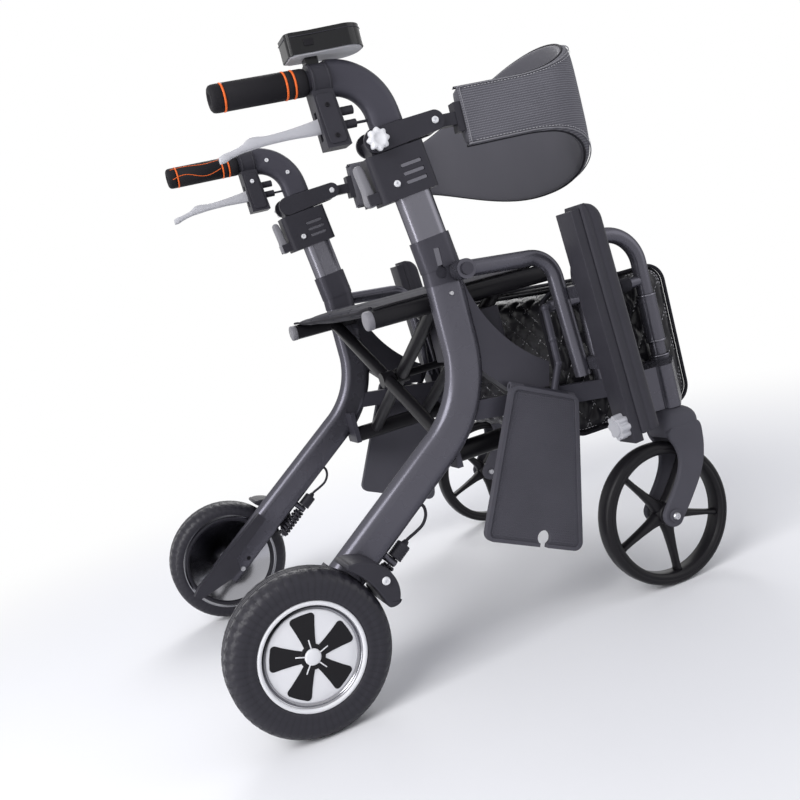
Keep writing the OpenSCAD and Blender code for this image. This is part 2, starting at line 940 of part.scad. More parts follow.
module caster_wheel() {
    rim_r = caster_r - 17;
    color(black)
        translate([axle_x, caster_y, caster_r])
            rotate([90, 0, 0])
                difference() {
                    union() {
                        rotate_extrude()
                            translate([rim_r, 0])
                                difference() {
                                    union() {
                                        translate([0, -caster_w / 2])
                                            square([caster_r - rim_r - 6, caster_w]);
                                        translate([0, -caster_w / 2 + 6])
                                            square([caster_r - rim_r, caster_w - 12]);
                                        for (side = [-1, 1])
                                            translate([caster_r - rim_r - 6, side * (caster_w / 2 - 6)])
                                                circle(6);
                                    }
                                    for (side = [-1, 1])
                                        translate([5, side * caster_w / 2])
                                            square([3, 3], center = true);
                                }
                        translate([0, 0, -fork_in + 1])
                            cylinder(h = 2 * fork_in - 2, r = 15);
                        for (i = [0:spoke_count - 1])
                            rotate(90 + i * 360 / spoke_count)
                                translate([0, -6, -7])
                                    cube([rim_r + 2, 12, 14]);
                    }
                    translate([0, 0, -fork_in])
                        cylinder(h = 2 * fork_in, r = caster_axle_r + run);
                }
}

/* Drive wheels, turned about the axle */

module on_axle() {
    translate([0, drive_y, drive_r])
        rotate([-90, 0, 0])
            children();
}

module drive_tyre() {
    shoulder = 17;
    color(black)
        on_axle()
            rotate_extrude($fn = 96)
                difference() {
                    union() {
                        translate([hub_r - shoulder, -drive_w / 2])
                            square([drive_r - hub_r, drive_w]);
                        translate([hub_r - shoulder, -drive_w / 2 + shoulder])
                            square([drive_r - hub_r + shoulder, drive_w - 2 * shoulder]);
                        for (side = [-1, 1])
                            translate([drive_r - shoulder, side * (drive_w / 2 - shoulder)])
                                circle(shoulder);
                    }
                    translate([0, -drive_w])
                        square([hub_r + run, 2 * drive_w]);
                }
}

blade_count = 5;

module blade() {
    polygon([
        [16, -5], [28, -13], [50, -15], [57, -6], [56, 9], [46, 13], [30, 8], [17, 5]
    ]);
}

module drive_hub() {
    face = drive_w / 2 - 3;
    color(pale)
        on_axle()
            difference() {
                union() {
                    translate([0, 0, -face])
                        cylinder(h = 2 * face, r = hub_r);
                    rotate_extrude($fn = 96)
                        translate([hub_r - 7, face - 1])
                            square([6, 3.5]);
                    translate([0, 0, face - 1])
                        cylinder(h = 5, r1 = 12, r2 = 9);
                    for (i = [0:blade_count - 1])
                        rotate(i * 360 / blade_count)
                            translate([0, 0, face - 1])
                                linear_extrude(2.5)
                                    scale((hub_r - 9) / 63)
                                        blade();
                }
                translate([0, 0, -face - 1])
                    cylinder(h = face + 17, r = axle_r + run);
            }
}

/* Brake shoe, cable and return spring, pedal */

// Angles of the shoe's ends about the drive axle
shoe_from = 14;
shoe_to = 54;

module brake_shoe() {
    inner = drive_r + shoe_gap;
    near = leg_out + gap;
    color(black)
        difference() {
            union() {
                translate([0, near, drive_r])
                    rotate([90, 0, 0])
                        rotate([0, 0, shoe_from])
                            rotate_extrude(angle = shoe_to - shoe_from, $fn = 96)
                                translate([inner, near - drive_y - drive_w / 2 + 6])
                                    square([shoe_t, drive_y + drive_w / 2 - 6 - near]);
                rod_y(shoe_pin[0], near, drive_y + 8, shoe_pin[2], shoe_pin_r + 5);
            }
            rod_y(shoe_pin[0], near - 1, drive_y + 6 + gap, shoe_pin[2], shoe_pin_r + run);
        }
}

// Exposed end of the cable: out of the leg, round, and along under it
cable_way = [
    on_leg(230, leg_d / 2 - 2, leg_y), on_leg(229, leg_d / 2 + 6, leg_y),
    on_leg(222, leg_d / 2 + 14, leg_y), on_leg(210, leg_d / 2 + 18, leg_y),
    on_leg(196, leg_d / 2 + 16, leg_y), on_leg(184, tab_n, leg_y), on_leg(176, tab_n, leg_y)
];

function ring_round(p, way, r, sides) =
    let (n = cross(way, [0, 1, 0]) / norm(way))
        [for (j = [0:sides - 1]) p + r * (cos(j * 360 / sides) * n - sin(j * 360 / sides) * [0, 1, 0])];

function sweep(path, r, sides) = [
    for (i = [0:len(path) - 1])
        ring_round(
            path[i],
            path[min(i + 1, len(path) - 1)] - path[max(i - 1, 0)],
            r, sides
        )
];

// Return spring along the rod below the tab
spring_from = tab_s - 8;
spring_to = tab_s - 52;
curl_rings = 8;
leg_way = on_leg(1, 0, 0) - on_leg(0, 0, 0);
leg_side = on_leg(0, 1, 0) - on_leg(0, 0, 0);

function spring_point(i, r) =
    let (
        steps = spring_curls * curl_rings,
        s = spring_from + (spring_to - spring_from) * i / steps,
        a = 360 * i / curl_rings
    )
        on_leg(s, tab_n, leg_y) + r * (cos(a) * leg_side + sin(a) * [0, 1, 0]);

spring_rings = [
    for (i = [0:spring_curls * curl_rings])
        let (out = spring_point(i, 1) - spring_point(i, 0))
            [
                for (j = [0:5])
                    spring_point(i, spring_r) + spring_wire * (cos(j * 60) * out - sin(j * 60) * leg_way)
            ]
];

// Least clear distance between neighbouring curls, measured on the wire's middle line
spring_clear = min([
    for (i = [0:spring_curls * curl_rings - 6], j = [i + 6:spring_curls * curl_rings])
        norm(spring_point(i, spring_r) - spring_point(j, spring_r))
]) - 2 * spring_wire;
echo(spring_least_gap = spring_clear);

module brake_cable() {
    color(black) {
        difference() {
            loft(sweep(cable_way, cable_r, 8));
            leg_shape();
        }
        bar(on_leg(178, tab_n, leg_y), on_leg(tab_s + 5 + gap, tab_n, leg_y), 6);
        bar(on_leg(tab_s + 8, tab_n, leg_y), on_leg(spring_to - 4, tab_n, leg_y), pull_r);
        bar(on_leg(tab_s - 5 - gap, tab_n, leg_y), on_leg(spring_from, tab_n, leg_y), 6);
        bar(on_leg(spring_to, tab_n, leg_y), on_leg(spring_to - 5, tab_n, leg_y), 6);
        loft(spring_rings);
    }
}

// Outline of the pedal: distance up the leg and below its middle line
pedal_outline = [
    [95, -leg_d / 2 + 1], [95, -leg_d / 2 + 17], [12, -leg_d / 2 + 19], [2, 10],
    [-20, 8], [-76, -leg_d / 2 + 13], [-80, -leg_d / 2 + 1], [-62, -leg_d / 2 - 3]
];

module tip_pedal() {
    color(black)
        side_plate(leg_in - 15, leg_in)
            polygon([
                for (p = pedal_outline)
                    let (q = on_leg(p[0], p[1], 0))
                        [q[0], q[2]]
            ]);
}

/* Side rail, braces and seat */

module side_rail_shape() {
    side_plate(loop_y - side_t / 2, loop_y + side_t / 2)
        polygon([
            side_rear + [0, side_h / 2],
            side_front + [12, side_h / 2],
            side_front + [12, -side_h / 2],
            side_rear + [0, -side_h / 2]
        ]);
}

module side_rail() {
    holder = 8;
    color(black)
        difference() {
            union() {
                side_rail_shape();
                rod_x(sleeve_ends[0] - holder, sleeve_ends[1] + holder, rail_y, brace_z, brace_rod_r);
                for (x = [sleeve_ends[0] - holder - gap, sleeve_ends[1] + gap])
                    block(
                        [x, rail_y - brace_rod_r - 3, brace_z - brace_rod_r - 3],
                        [x + holder, loop_y + side_t / 2, side_front[1] - side_h / 2 + 32]
                    );
            }
            leg_shape();
        }
}

// One folding brace: sleeve on the lower rod, two tubes, and the rail at their top
module brace_tubes(planes) {
    low = [0, -rail_y, brace_z];
    high = [0, rail_y, seat_z];
    difference() {
        union() {
            rod_x(sleeve_ends[0] + gap, sleeve_ends[1] - gap, -rail_y, brace_z, brace_rod_r + brace_wall);
            for (x = planes) {
                bar(low + [x, 0, 0], high + [x, 0, 0], brace_r);
                rod_x(x - brace_r, x + brace_r, 0, brace_mid_z, brace_pin_r + 6);
            }
            rod_x(rail_rear, rail_end, rail_y, seat_z, rail_r);
        }
        rod_x(sleeve_ends[0] - 1, sleeve_ends[1] + 1, -rail_y, brace_z, brace_rod_r + run);
    }
}

// Carries the left rail and turns on the right frame
module brace_right() {
    color(black) {
        brace_tubes([brace_x, brace_front]);
        rod_x(brace_x, brace_front, 0, brace_mid_z, brace_pin_r);
    }
}

// Carries the right rail and turns on the left frame
module brace_left() {
    color(black)
        difference() {
            mirror([0, 1, 0])
                brace_tubes([brace_x + brace_step, brace_front - brace_step]);
            rod_x(brace_x, brace_front, 0, brace_mid_z, brace_pin_r + run);
        }
}

// Sling: thin over the rails, thicker and lower between them, with a crowned top
seat_edge = rail_y + rail_r - 2;
seat_steps = 28;

function seat_ring(y) =
    let (
        into = smooth((rail_y - rail_r - 2 - abs(y)) / 55),
        low = seat_z + rail_r + gap - into * (seat_t - 5),
        thick = 5 + into * (seat_t - 5) * 0.8,
        back = rail_rear + 8 + 4 * into,
        front = rail_end - 8 - 4 * into
    )
        [
            [back, y, low], [front, y, low],
            [front + 3, y, low + thick * 0.5],
            [front - 3, y, low + thick],
            [(back * 2 + front) / 3 + 55, y, low + thick + 2 * into],
            [back + 3, y, low + thick],
            [back - 3, y, low + thick * 0.5]
        ];

module seat_sling() {
    color(graphite)
        loft([for (i = [0:seat_steps]) seat_ring(seat_edge - 2 * seat_edge * i / seat_steps)]);
}

/* Backrest band: two straight ends and a rounded front that flares up and down */

band_steps = 48;
band_round = 0.88;
band_flare = 0.8;
band_bow = band_front - band_t / 2 - band_rear - band_straight;

// Middle line of the band, from the right end (t = -1) to the left end (t = 1)
function band_point(t) =
    let (turn = 0.3)
        abs(t) > 1 - turn
            ? [band_rear + band_straight * (1 - abs(t)) / turn, sign(t) * leg_y]
            : let (a = 90 * t / (1 - turn))
                [
                    band_rear + band_straight + band_bow * pow(cos(a), band_round),
                    leg_y * sign(a) * pow(abs(sin(a)), band_round)
                ];

function band_half(t) =
    (band_end_h + (band_mid_h - band_end_h) * smooth(1 - abs(t) / band_flare)) / 2;

function band_ring(t) =
    let (
        p = band_point(t),
        way = band_point(min(t + 0.01, 1)) - band_point(max(t - 0.01, -1)),
        n = [way[1], -way[0]] / norm(way),
        h = band_half(t),
        half = band_t / 2,
        outline = [
            [0, 1], [half, 0.94], [half, 0], [half, -0.94],
            [0, -1], [-half, -0.88], [-half, 0], [-half, 0.88]
        ]
    )
        [for (o = outline) [p[0] + n[0] * o[0], p[1] + n[1] * o[0], eye[2] + h * o[1]]];

module backrest_band() {
    color(graphite)
        loft([for (i = [0:band_steps]) band_ring(-1 + 2 * i / band_steps)]);
}

/* Footplates */

// Hinge frame: x along the hinge line backwards from its front end, z down the plate
module plate_frame() {
    translate([plate_front[0], plate_y - hinge_in, plate_front[1]])
        rotate([0, plate_slope, 0])
            children();
}

knuckle_from = -plate_top_w + 22;
knuckle_to = -14;
hang_at = 31;

// Rounded four-sided outline of the plate, drawn in by inset
module plate_outline(inset) {
    r = plate_corner - inset;
    corners = [
        [-plate_corner, plate_rise - plate_corner],
        [-plate_top_w + plate_corner, plate_rise - plate_corner],
        [-plate_top_w - plate_back + plate_corner, -plate_len + plate_corner],
        [-plate_top_w - plate_back + plate_low_w - plate_corner, -plate_len + plate_corner]
    ];
    polygon(corners);
    for (i = [0:3])
        tapered_link(corners[i], r, corners[(i + 1) % 4], r);
}

module footplate() {
    rim = 5;
    inner = hinge_in - plate_t / 2;
    outer = hinge_in + plate_t / 2;
    notch = [-plate_top_w - plate_back + plate_low_w * 0.6, -plate_len + 13];
    color(graphite)
        plate_frame()
            difference() {
                union() {
                    side_plate(inner, outer)
                        plate_outline(0);
                    rod_x(-plate_top_w + 2, -4, 0, 0, knuckle_r);
                }
                // Tray behind its rim on the outer face
                side_plate(outer - 3, outer + 3)
                    plate_outline(rim);
                // Notch in the free end
                rod_y(notch[0], -plate_t, outer + 5, notch[1], 10);
                translate([notch[0] - 6, -plate_t, -plate_len - 1])
                    cube([12, outer + plate_t + 5, 10]);
                // Room for the hanger's knuckle, and the pin's bore
                translate([knuckle_from, -knuckle_r - 3, -knuckle_r - 2])
                    cube([knuckle_to - knuckle_from, 2 * knuckle_r + 3 + gap, 2 * knuckle_r + 4]);
                rod_x(-plate_top_w - 1, 1, 0, 0, plate_pin_r + run);
            }
}

module footrest_hanger() {
    end = loop_back - 56;
    tube = 5;
    bracket = 14;
    way = [
        [end - 7, loop_y, bar_z], [end - 9, loop_y + 4, bar_z - 44],
        [end - 11, loop_y + 7, bar_z - 78],
        [plate_front[0] - hang_at * plate_dir[0], plate_y - 12, plate_front[1] - hang_at * plate_dir[2]]
    ];
    color(graphite) {
        rod_x(end - 7, end, loop_y, bar_z, tube);
        for (i = [0:2])
            bar(way[i], way[i + 1], tube);
        for (p = way)
            translate(p)
                sphere(tube + 0.8);
        plate_frame() {
            rod_x(knuckle_from + gap, knuckle_to - gap, 0, 0, knuckle_r);
            rod_x(-plate_top_w + 4, -6, 0, 0, plate_pin_r);
            translate([-hang_at - bracket / 2, hinge_in - plate_y + loop_y + side_t / 2, -6])
                cube([bracket, plate_y - hinge_in - loop_y - side_t / 2, 9]);
        }
    }
}

/* Bag, battery and controller */

module storage_bag() {
    color(black)
        difference() {
            union() {
                side_plate(-bag_half, bag_half)
                    rounded_rect([bag_rear, bag_low], [bag_front, bag_top], 28);
                for (side = [-1, 1], x = [loop_back + 24, loop_x - 42])
                    bag_loop(side, x);
            }
            side_plate(-bag_half + bag_wall, bag_half - bag_wall) {
                rounded_rect(
                    [bag_rear + bag_wall, bag_low + bag_wall],
                    [bag_front - bag_wall, bag_top - bag_wall], 22
                );
                translate([bag_rear + 34, bag_top - bag_wall - 4])
                    square([bag_front - bag_rear - 68, bag_wall + 8]);
            }
            side_plate(-bag_half - 1, bag_half + 1)
                rounded_rect([loop_x - 58, bag_top - 72], [loop_x - 16, bag_top - 44], 13);
            for (side = [-1, 1])
                rod_x(bag_rear, bag_front, side * loop_y, bar_z, bag_bar_r + gap);
        }
}

// Strap from the bag's side round the bag bar
module bag_loop(side, x) {
    rod_x(x, x + 18, side * loop_y, bar_z, bag_bar_r + gap + 2);
    inner = min(side * (bag_half - 2), side * (loop_y - bag_bar_r));
    translate([x, inner, bar_z - 1])
        cube([18, loop_y - bag_bar_r - bag_half + 2, 2]);
}

battery_x = brace_x + brace_step + brace_r + 3;

module battery_box() {
    low = seat_z - rail_r - 12 - battery_h;
    color(black) {
        translate([0, 0, low])
            linear_extrude(battery_h)
                rounded_rect([battery_x, -leg_in], [battery_x + battery_len, -leg_in + battery_w], 8);
        // Pad against the gusset
        block([leg_x + 30, -fin_in, low + 4], [leg_x + 42, -leg_in + 1, low + 40]);
    }
}

box_z = grip_z + bend_d / 2 + 6;
box_front = bend_end + 56;
button_at = [box_front - box_half - 4, -leg_y];

module controller() {
    color(black)
        difference() {
            union() {
                translate([0, -leg_y, box_z])
                    linear_extrude(box_h) {
                        translate([box_front - box_half, 0])
                            circle(box_half);
                        rounded_rect([box_front - box_len, -box_half + 6], [box_front - box_half, box_half - 6], 8);
                        polygon([
                            [box_front - box_len + 30, box_half - 6], [box_front - box_half, box_half],
                            [box_front - box_half, -box_half], [box_front - box_len + 30, -box_half + 6]
                        ]);
                    }
                block([clamp_x + 2, -leg_y - 8, grip_z], [clamp_x + 18, -leg_y + 8, box_z + 1]);
            }
            rod_x(clamp_x - 2, bend_end + 40, -leg_y, grip_z, bar_r + 7);
            translate([button_at[0], button_at[1], box_z + box_h - 4])
                cylinder(h = 5, r = button_r + gap);
        }
}

module controller_button() {
    color(pale)
        translate([button_at[0], button_at[1], box_z + box_h - 4 + 1.5])
            cylinder(h = 4, r = button_r);
}

/* Placement */

module placed() {
    translate([-mid_x, 0, 0])
        children();
}

module left_side() {
    placed()
        children();
}

module right_side() {
    placed()
        mirror([0, 1, 0])
            children();
}

right_side() rear_leg();  // rear_leg_right
left_side() rear_leg();  // rear_leg_left
right_side() side_casting();  // side_casting_right
left_side() side_casting();  // side_casting_left
right_side() upper_post();  // upper_post_right
left_side() upper_post();  // upper_post_left
right_side() clamp_housing();  // clamp_housing_right
left_side() clamp_housing();  // clamp_housing_left
right_side() cam_lever();  // cam_lever_right
left_side() cam_lever();  // cam_lever_left
right_side() handle_tube();  // handle_tube_right
left_side() handle_tube();  // handle_tube_left
right_side() grip();  // grip_right
left_side() grip();  // grip_left
right_side() brake_housing();  // brake_housing_right
left_side() brake_housing();  // brake_housing_left
right_side() brake_lever();  // brake_lever_right
left_side() brake_lever();  // brake_lever_left
right_side() backrest_arm();  // backrest_arm_right
left_side() backrest_arm();  // backrest_arm_left
right_side() backrest_link();  // backrest_link_right
left_side() backrest_link();  // backrest_link_left
right_side() backrest_knob();  // backrest_knob_right
left_side() backrest_knob();  // backrest_knob_left
right_side() armrest_tube();  // armrest_tube_right
left_side() armrest_tube();  // armrest_tube_left
right_side() armrest_pad();  // armrest_pad_right
left_side() armrest_pad();  // armrest_pad_left
right_side() armrest_knob();  // armrest_knob_right
left_side() armrest_knob();  // armrest_knob_left
right_side() front_frame();  // front_frame_right
left_side() front_frame();  // front_frame_left
right_side() caster_fork();  // caster_fork_right
left_side() caster_fork();  // caster_fork_left
right_side() caster_wheel();  // caster_wheel_right
left_side() caster_wheel();  // caster_wheel_left
right_side() drive_tyre();  // drive_tyre_right
left_side() drive_tyre();  // drive_tyre_left
right_side() drive_hub();  // drive_hub_right
left_side() drive_hub();  // drive_hub_left
right_side() footplate();  // footplate_right
left_side() footplate();  // footplate_left
right_side() footrest_hanger();  // footrest_hanger_right
left_side() footrest_hanger();  // footrest_hanger_left
right_side() side_rail();  // side_rail_right
left_side() side_rail();  // side_rail_left
right_side() tip_pedal();  // tip_pedal_right
left_side() tip_pedal();  // tip_pedal_left
right_side() brake_shoe();  // brake_shoe_right
left_side() brake_shoe();  // brake_shoe_left
right_side() brake_cable();  // brake_cable_right
left_side() brake_cable();  // brake_cable_left
placed() brace_right();
placed() brace_left();
placed() seat_sling();
placed() backrest_band();
placed() storage_bag();
placed() battery_box();
placed() controller();
placed() controller_button();
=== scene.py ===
"""Looks of the rollator transport chair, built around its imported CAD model.

Sizes are millimetres in the chair's own terms: x forwards from the drive axle, y to the left,
z up from the floor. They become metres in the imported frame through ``at``.
"""

import json
import logging
from dataclasses import dataclass, field
from enum import Enum
from math import copysign, cos, exp, hypot, pi, radians, sin, sqrt
from typing import Callable, Dict, Iterable, List, Optional, Sequence, Tuple

import bmesh
import bpy
import numpy as np
from mathutils import Matrix, Vector


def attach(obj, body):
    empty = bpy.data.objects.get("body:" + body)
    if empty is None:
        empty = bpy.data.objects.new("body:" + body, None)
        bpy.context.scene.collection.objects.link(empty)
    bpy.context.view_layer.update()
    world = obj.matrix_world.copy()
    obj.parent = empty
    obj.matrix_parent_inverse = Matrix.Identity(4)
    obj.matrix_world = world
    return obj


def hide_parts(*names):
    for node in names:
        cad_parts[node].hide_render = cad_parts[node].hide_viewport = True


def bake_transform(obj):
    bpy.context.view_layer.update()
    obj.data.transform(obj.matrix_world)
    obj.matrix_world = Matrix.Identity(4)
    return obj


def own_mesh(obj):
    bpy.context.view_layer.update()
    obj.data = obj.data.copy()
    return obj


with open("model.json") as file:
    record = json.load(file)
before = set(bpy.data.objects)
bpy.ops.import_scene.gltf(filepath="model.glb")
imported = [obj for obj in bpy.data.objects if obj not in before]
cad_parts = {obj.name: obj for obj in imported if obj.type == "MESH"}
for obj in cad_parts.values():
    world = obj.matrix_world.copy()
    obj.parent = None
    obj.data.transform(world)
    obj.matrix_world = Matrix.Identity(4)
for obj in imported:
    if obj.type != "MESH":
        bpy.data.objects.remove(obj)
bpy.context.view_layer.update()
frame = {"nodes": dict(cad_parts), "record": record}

log = logging.getLogger("chair")
Point = Sequence[float]
Flat = Tuple[float, float]
Spot = Tuple[float, float, float]
Route = Tuple[Tuple[float, float, float, float], ...]
Rings = List[List[Spot]]
MeshData = Tuple[List[Spot], List[Tuple[int, ...]]]
Lay = Callable[[float, float, float], Spot]
Piece = bpy.types.Object
Socket = bpy.types.NodeSocket
Inputs = Dict[object, object]
Shift = Callable[[int, int], float]

# Radius where a turned profile meets its axis
AXIS = 0.01
# Middle of the chair's length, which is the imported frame's origin
MID_X = 280.75
# Post and lower leg: where they stand, how far they lean
LEG_X, LEG_Y, POST_Z, LEAN = 311.0, 242.0, 505.0, radians(7.0)
LEG_TURN = radians(54.6)
DRIVE_R = 102.5
GRIP_Z = 766.0
RAIL_Y, RAIL_R, RAIL_Z = 210.0, 12.5, 462.0
LOOP_X, LOOP_Y = 612.0, 238.0
CASTER_AT = (527.0, 288.0, 100.0)
STEER_X = 577.0


class Side(Enum):
    """The two sides of the chair, with the sign of their y."""

    RIGHT = -1
    LEFT = 1

    def name_of(self, piece: str) -> str:
        """The piece's or body's name on this side."""
        return f"{piece}_{self.name.lower()}"


def at(x: float, y: float, z: float) -> Spot:
    """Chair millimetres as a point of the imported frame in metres."""
    return ((x - MID_X) / 1000.0, y / 1000.0, z / 1000.0)


def metres(size: float) -> float:
    """A size in millimetres as metres."""
    return size / 1000.0


def on_post(v: float, u: float) -> Flat:
    """A point v forwards of the leaning post's axis and u up along it, as x and z."""
    return (
        LEG_X + v * cos(LEAN) - u * sin(LEAN),
        POST_Z + v * sin(LEAN) + u * cos(LEAN),
    )


def on_leg(s: float, n: float) -> Flat:
    """A point s up the lower leg and n below its middle line, as x and z."""
    return (
        s * sin(LEG_TURN) + n * cos(LEG_TURN),
        DRIVE_R + s * cos(LEG_TURN) - n * sin(LEG_TURN),
    )


def smooth(t: float) -> float:
    """Smooth step from 0 to 1."""
    t = min(max(t, 0.0), 1.0)
    return t * t * (3.0 - 2.0 * t)


def bent(value: float, power: float) -> float:
    """A cosine or sine raised to a power with its sign kept, for squarer or sharper rounds."""
    return copysign(abs(value) ** power, value)


def directions(count: int) -> List[Flat]:
    """Cosine and sine of even steps round a circle."""
    turns = [2.0 * pi * k / count for k in range(count)]
    return [(cos(a), sin(a)) for a in turns]


def arc(cx: float, cy: float, radius: float, start: float, sweep: float, steps: int) -> List[Flat]:
    """Points on an arc about a middle, from start degrees through sweep degrees."""
    turns = [radians(start + sweep * k / steps) for k in range(steps + 1)]
    return [(cx + radius * cos(a), cy + radius * sin(a)) for a in turns]


def swung(r: float, across: float, turn: float) -> Flat:
    """A point r along a radius and across it, swung by a turn in radians."""
    return (
        r * cos(turn) - across * sin(turn),
        r * sin(turn) + across * cos(turn),
    )


def rounded_box(x0: float, x1: float, y0: float, y1: float, r: float, steps: int) -> List[Flat]:
    """A rectangle's outline with round corners."""
    corners = ((x1 - r, y1 - r, 0.0), (x0 + r, y1 - r, 90.0), (x0 + r, y0 + r, 180.0), (x1 - r, y0 + r, 270.0))
    return [p for cx, cy, start in corners for p in arc(cx, cy, r, start, 90.0, steps)]


# Finishes

COAT_ROUGHNESS, SHEEN_ROUGHNESS = 0.12, 0.4
ROUGH_SPREAD, LEAST_ROUGH = 0.07, 0.03
WHEEL_AT = at(0.0, 0.0, DRIVE_R)


def srgb(colour: Point) -> Tuple[float, ...]:
    """An 8-bit sRGB colour as linear RGBA."""
    shares = [c / 255.0 for c in colour]
    return tuple(c / 12.92 if c <= 0.04045 else ((c + 0.055) / 1.055) ** 2.4 for c in shares) + (1.0,)


def toned(colour: Point, factor: float) -> Tuple[float, ...]:
    """A linear colour made lighter or darker."""
    return tuple(min(c * factor, 1.0) for c in colour[:3]) + (1.0,)


class Pattern(Enum):
    """What the surface of a finish shows when seen close."""

    PEEL = "orange peel of powder coat"
    GRAIN = "moulded grain"
    BRUSHED = "fine turned lines"
    WEAVE = "woven threads"
    LEATHER = "creased skin"
    SIDEWALL = "fine rays round a wheel"
    # painted reflection: a polished dish darkened along a sweep round the wheel's axis, standing in for a dark
    # reflection
    SPUN = "polished dish with a sweep of shade round it"


def add_node(tree: bpy.types.NodeTree, kind: str, inputs: Optional[Inputs] = None,
             settings: Optional[Dict[str, object]] = None) -> bpy.types.Node:
    """Adds a node, sets its properties and joins or sets its inputs.

    Args:
        tree: the node tree.
        kind: the node's type.
        inputs: input name or number to a socket or a value.
        settings: the node's properties.

    Returns:
        The node.
    """
    made = tree.nodes.new(kind)
    for key, value in (settings or {}).items():
        setattr(made, key, value)
    for key, value in (inputs or {}).items():
        if isinstance(value, Socket):
            tree.links.new(value, made.inputs[key])
        else:
            made.inputs[key].default_value = value
    return made


class Shader:
    """A material's node tree, put together socket by socket."""

    def __init__(self, name: str) -> None:
        """Starts a material of this name with one principled shader."""
        self.material = bpy.data.materials.new(name)
        self.material.use_nodes = True
        self.tree = self.material.node_tree
        self.bsdf = self.tree.nodes["Principled BSDF"]
        self.coords = self.tree.nodes.new("ShaderNodeTexCoord")

    def node(self, kind: str, inputs: Optional[Inputs] = None, **settings: object) -> bpy.types.Node:
        """Adds a node to the material, as ``add_node`` does."""
        return add_node(self.tree, kind, inputs, settings)

    def link(self, source: Socket, target: Socket) -> None:
        """Joins an output socket to an input socket."""
        self.tree.links.new(source, target)

    def place(self, uv: bool, centre: Point) -> Socket:
        """Coordinates for a texture, on the UV map or on the object, about a centre."""
        source = self.coords.outputs["UV" if uv else "Object"]
        if not any(centre):
            return source
        return self.node("ShaderNodeMapping", {"Vector": source, "Location": [-c for c in centre]}).outputs[0]

    def noise(self, place: Socket, scale: float, detail: float = 2.0) -> Socket:
        """A noise texture's value."""
        made = self.node("ShaderNodeTexNoise", {"Vector": place, "Scale": scale, "Detail": detail})
        return made.outputs["Fac"]

    def bands(self, place: Socket, period: float, direction: str) -> Socket:
        """Sine bands of a period in metres along X, Y or Z."""
        scale = 2.0 * pi / (20.0 * period)
        made = self.node("ShaderNodeTexWave", {"Vector": place, "Scale": scale}, wave_type="BANDS",
                         bands_direction=direction)
        return made.outputs["Fac"]

    def maths(self, operation: str, a: object, b: object = 0.0) -> Socket:
        """A math node on sockets or numbers."""
        return self.node("ShaderNodeMath", {0: a, 1: b}, operation=operation).outputs[0]

    def span(self, value: Socket, low: float, high: float) -> Socket:
        """A value from 0 to 1, moved to low to high."""
        made = self.node("ShaderNodeMapRange", {"Value": value, "To Min": low, "To Max": high})
        return made.outputs["Result"]

    def blend(self, value: Socket, low: Point, high: Point) -> Socket:
        """A colour between two colours."""
        made = self.node("ShaderNodeMix", {"Factor": value}, data_type="RGBA")
        ends = [s for s in made.inputs if s.type == "RGBA"]
        ends[0].default_value, ends[1].default_value = low, high
        return next(s for s in made.outputs if s.type == "RGBA")

    def angle(self, place: Socket) -> Socket:
        """The turn about the Y axis, in radians."""
        parts = self.node("ShaderNodeSeparateXYZ", {0: place})
        return self.maths("ARCTAN2", parts.outputs["Z"], parts.outputs["X"])

    def bump(self, height: Socket, depth: float) -> Socket:
        """A bump of a depth in metres."""
        return self.node("ShaderNodeBump", {"Height": height, "Strength": 1.0, "Distance": depth}).outputs[0]


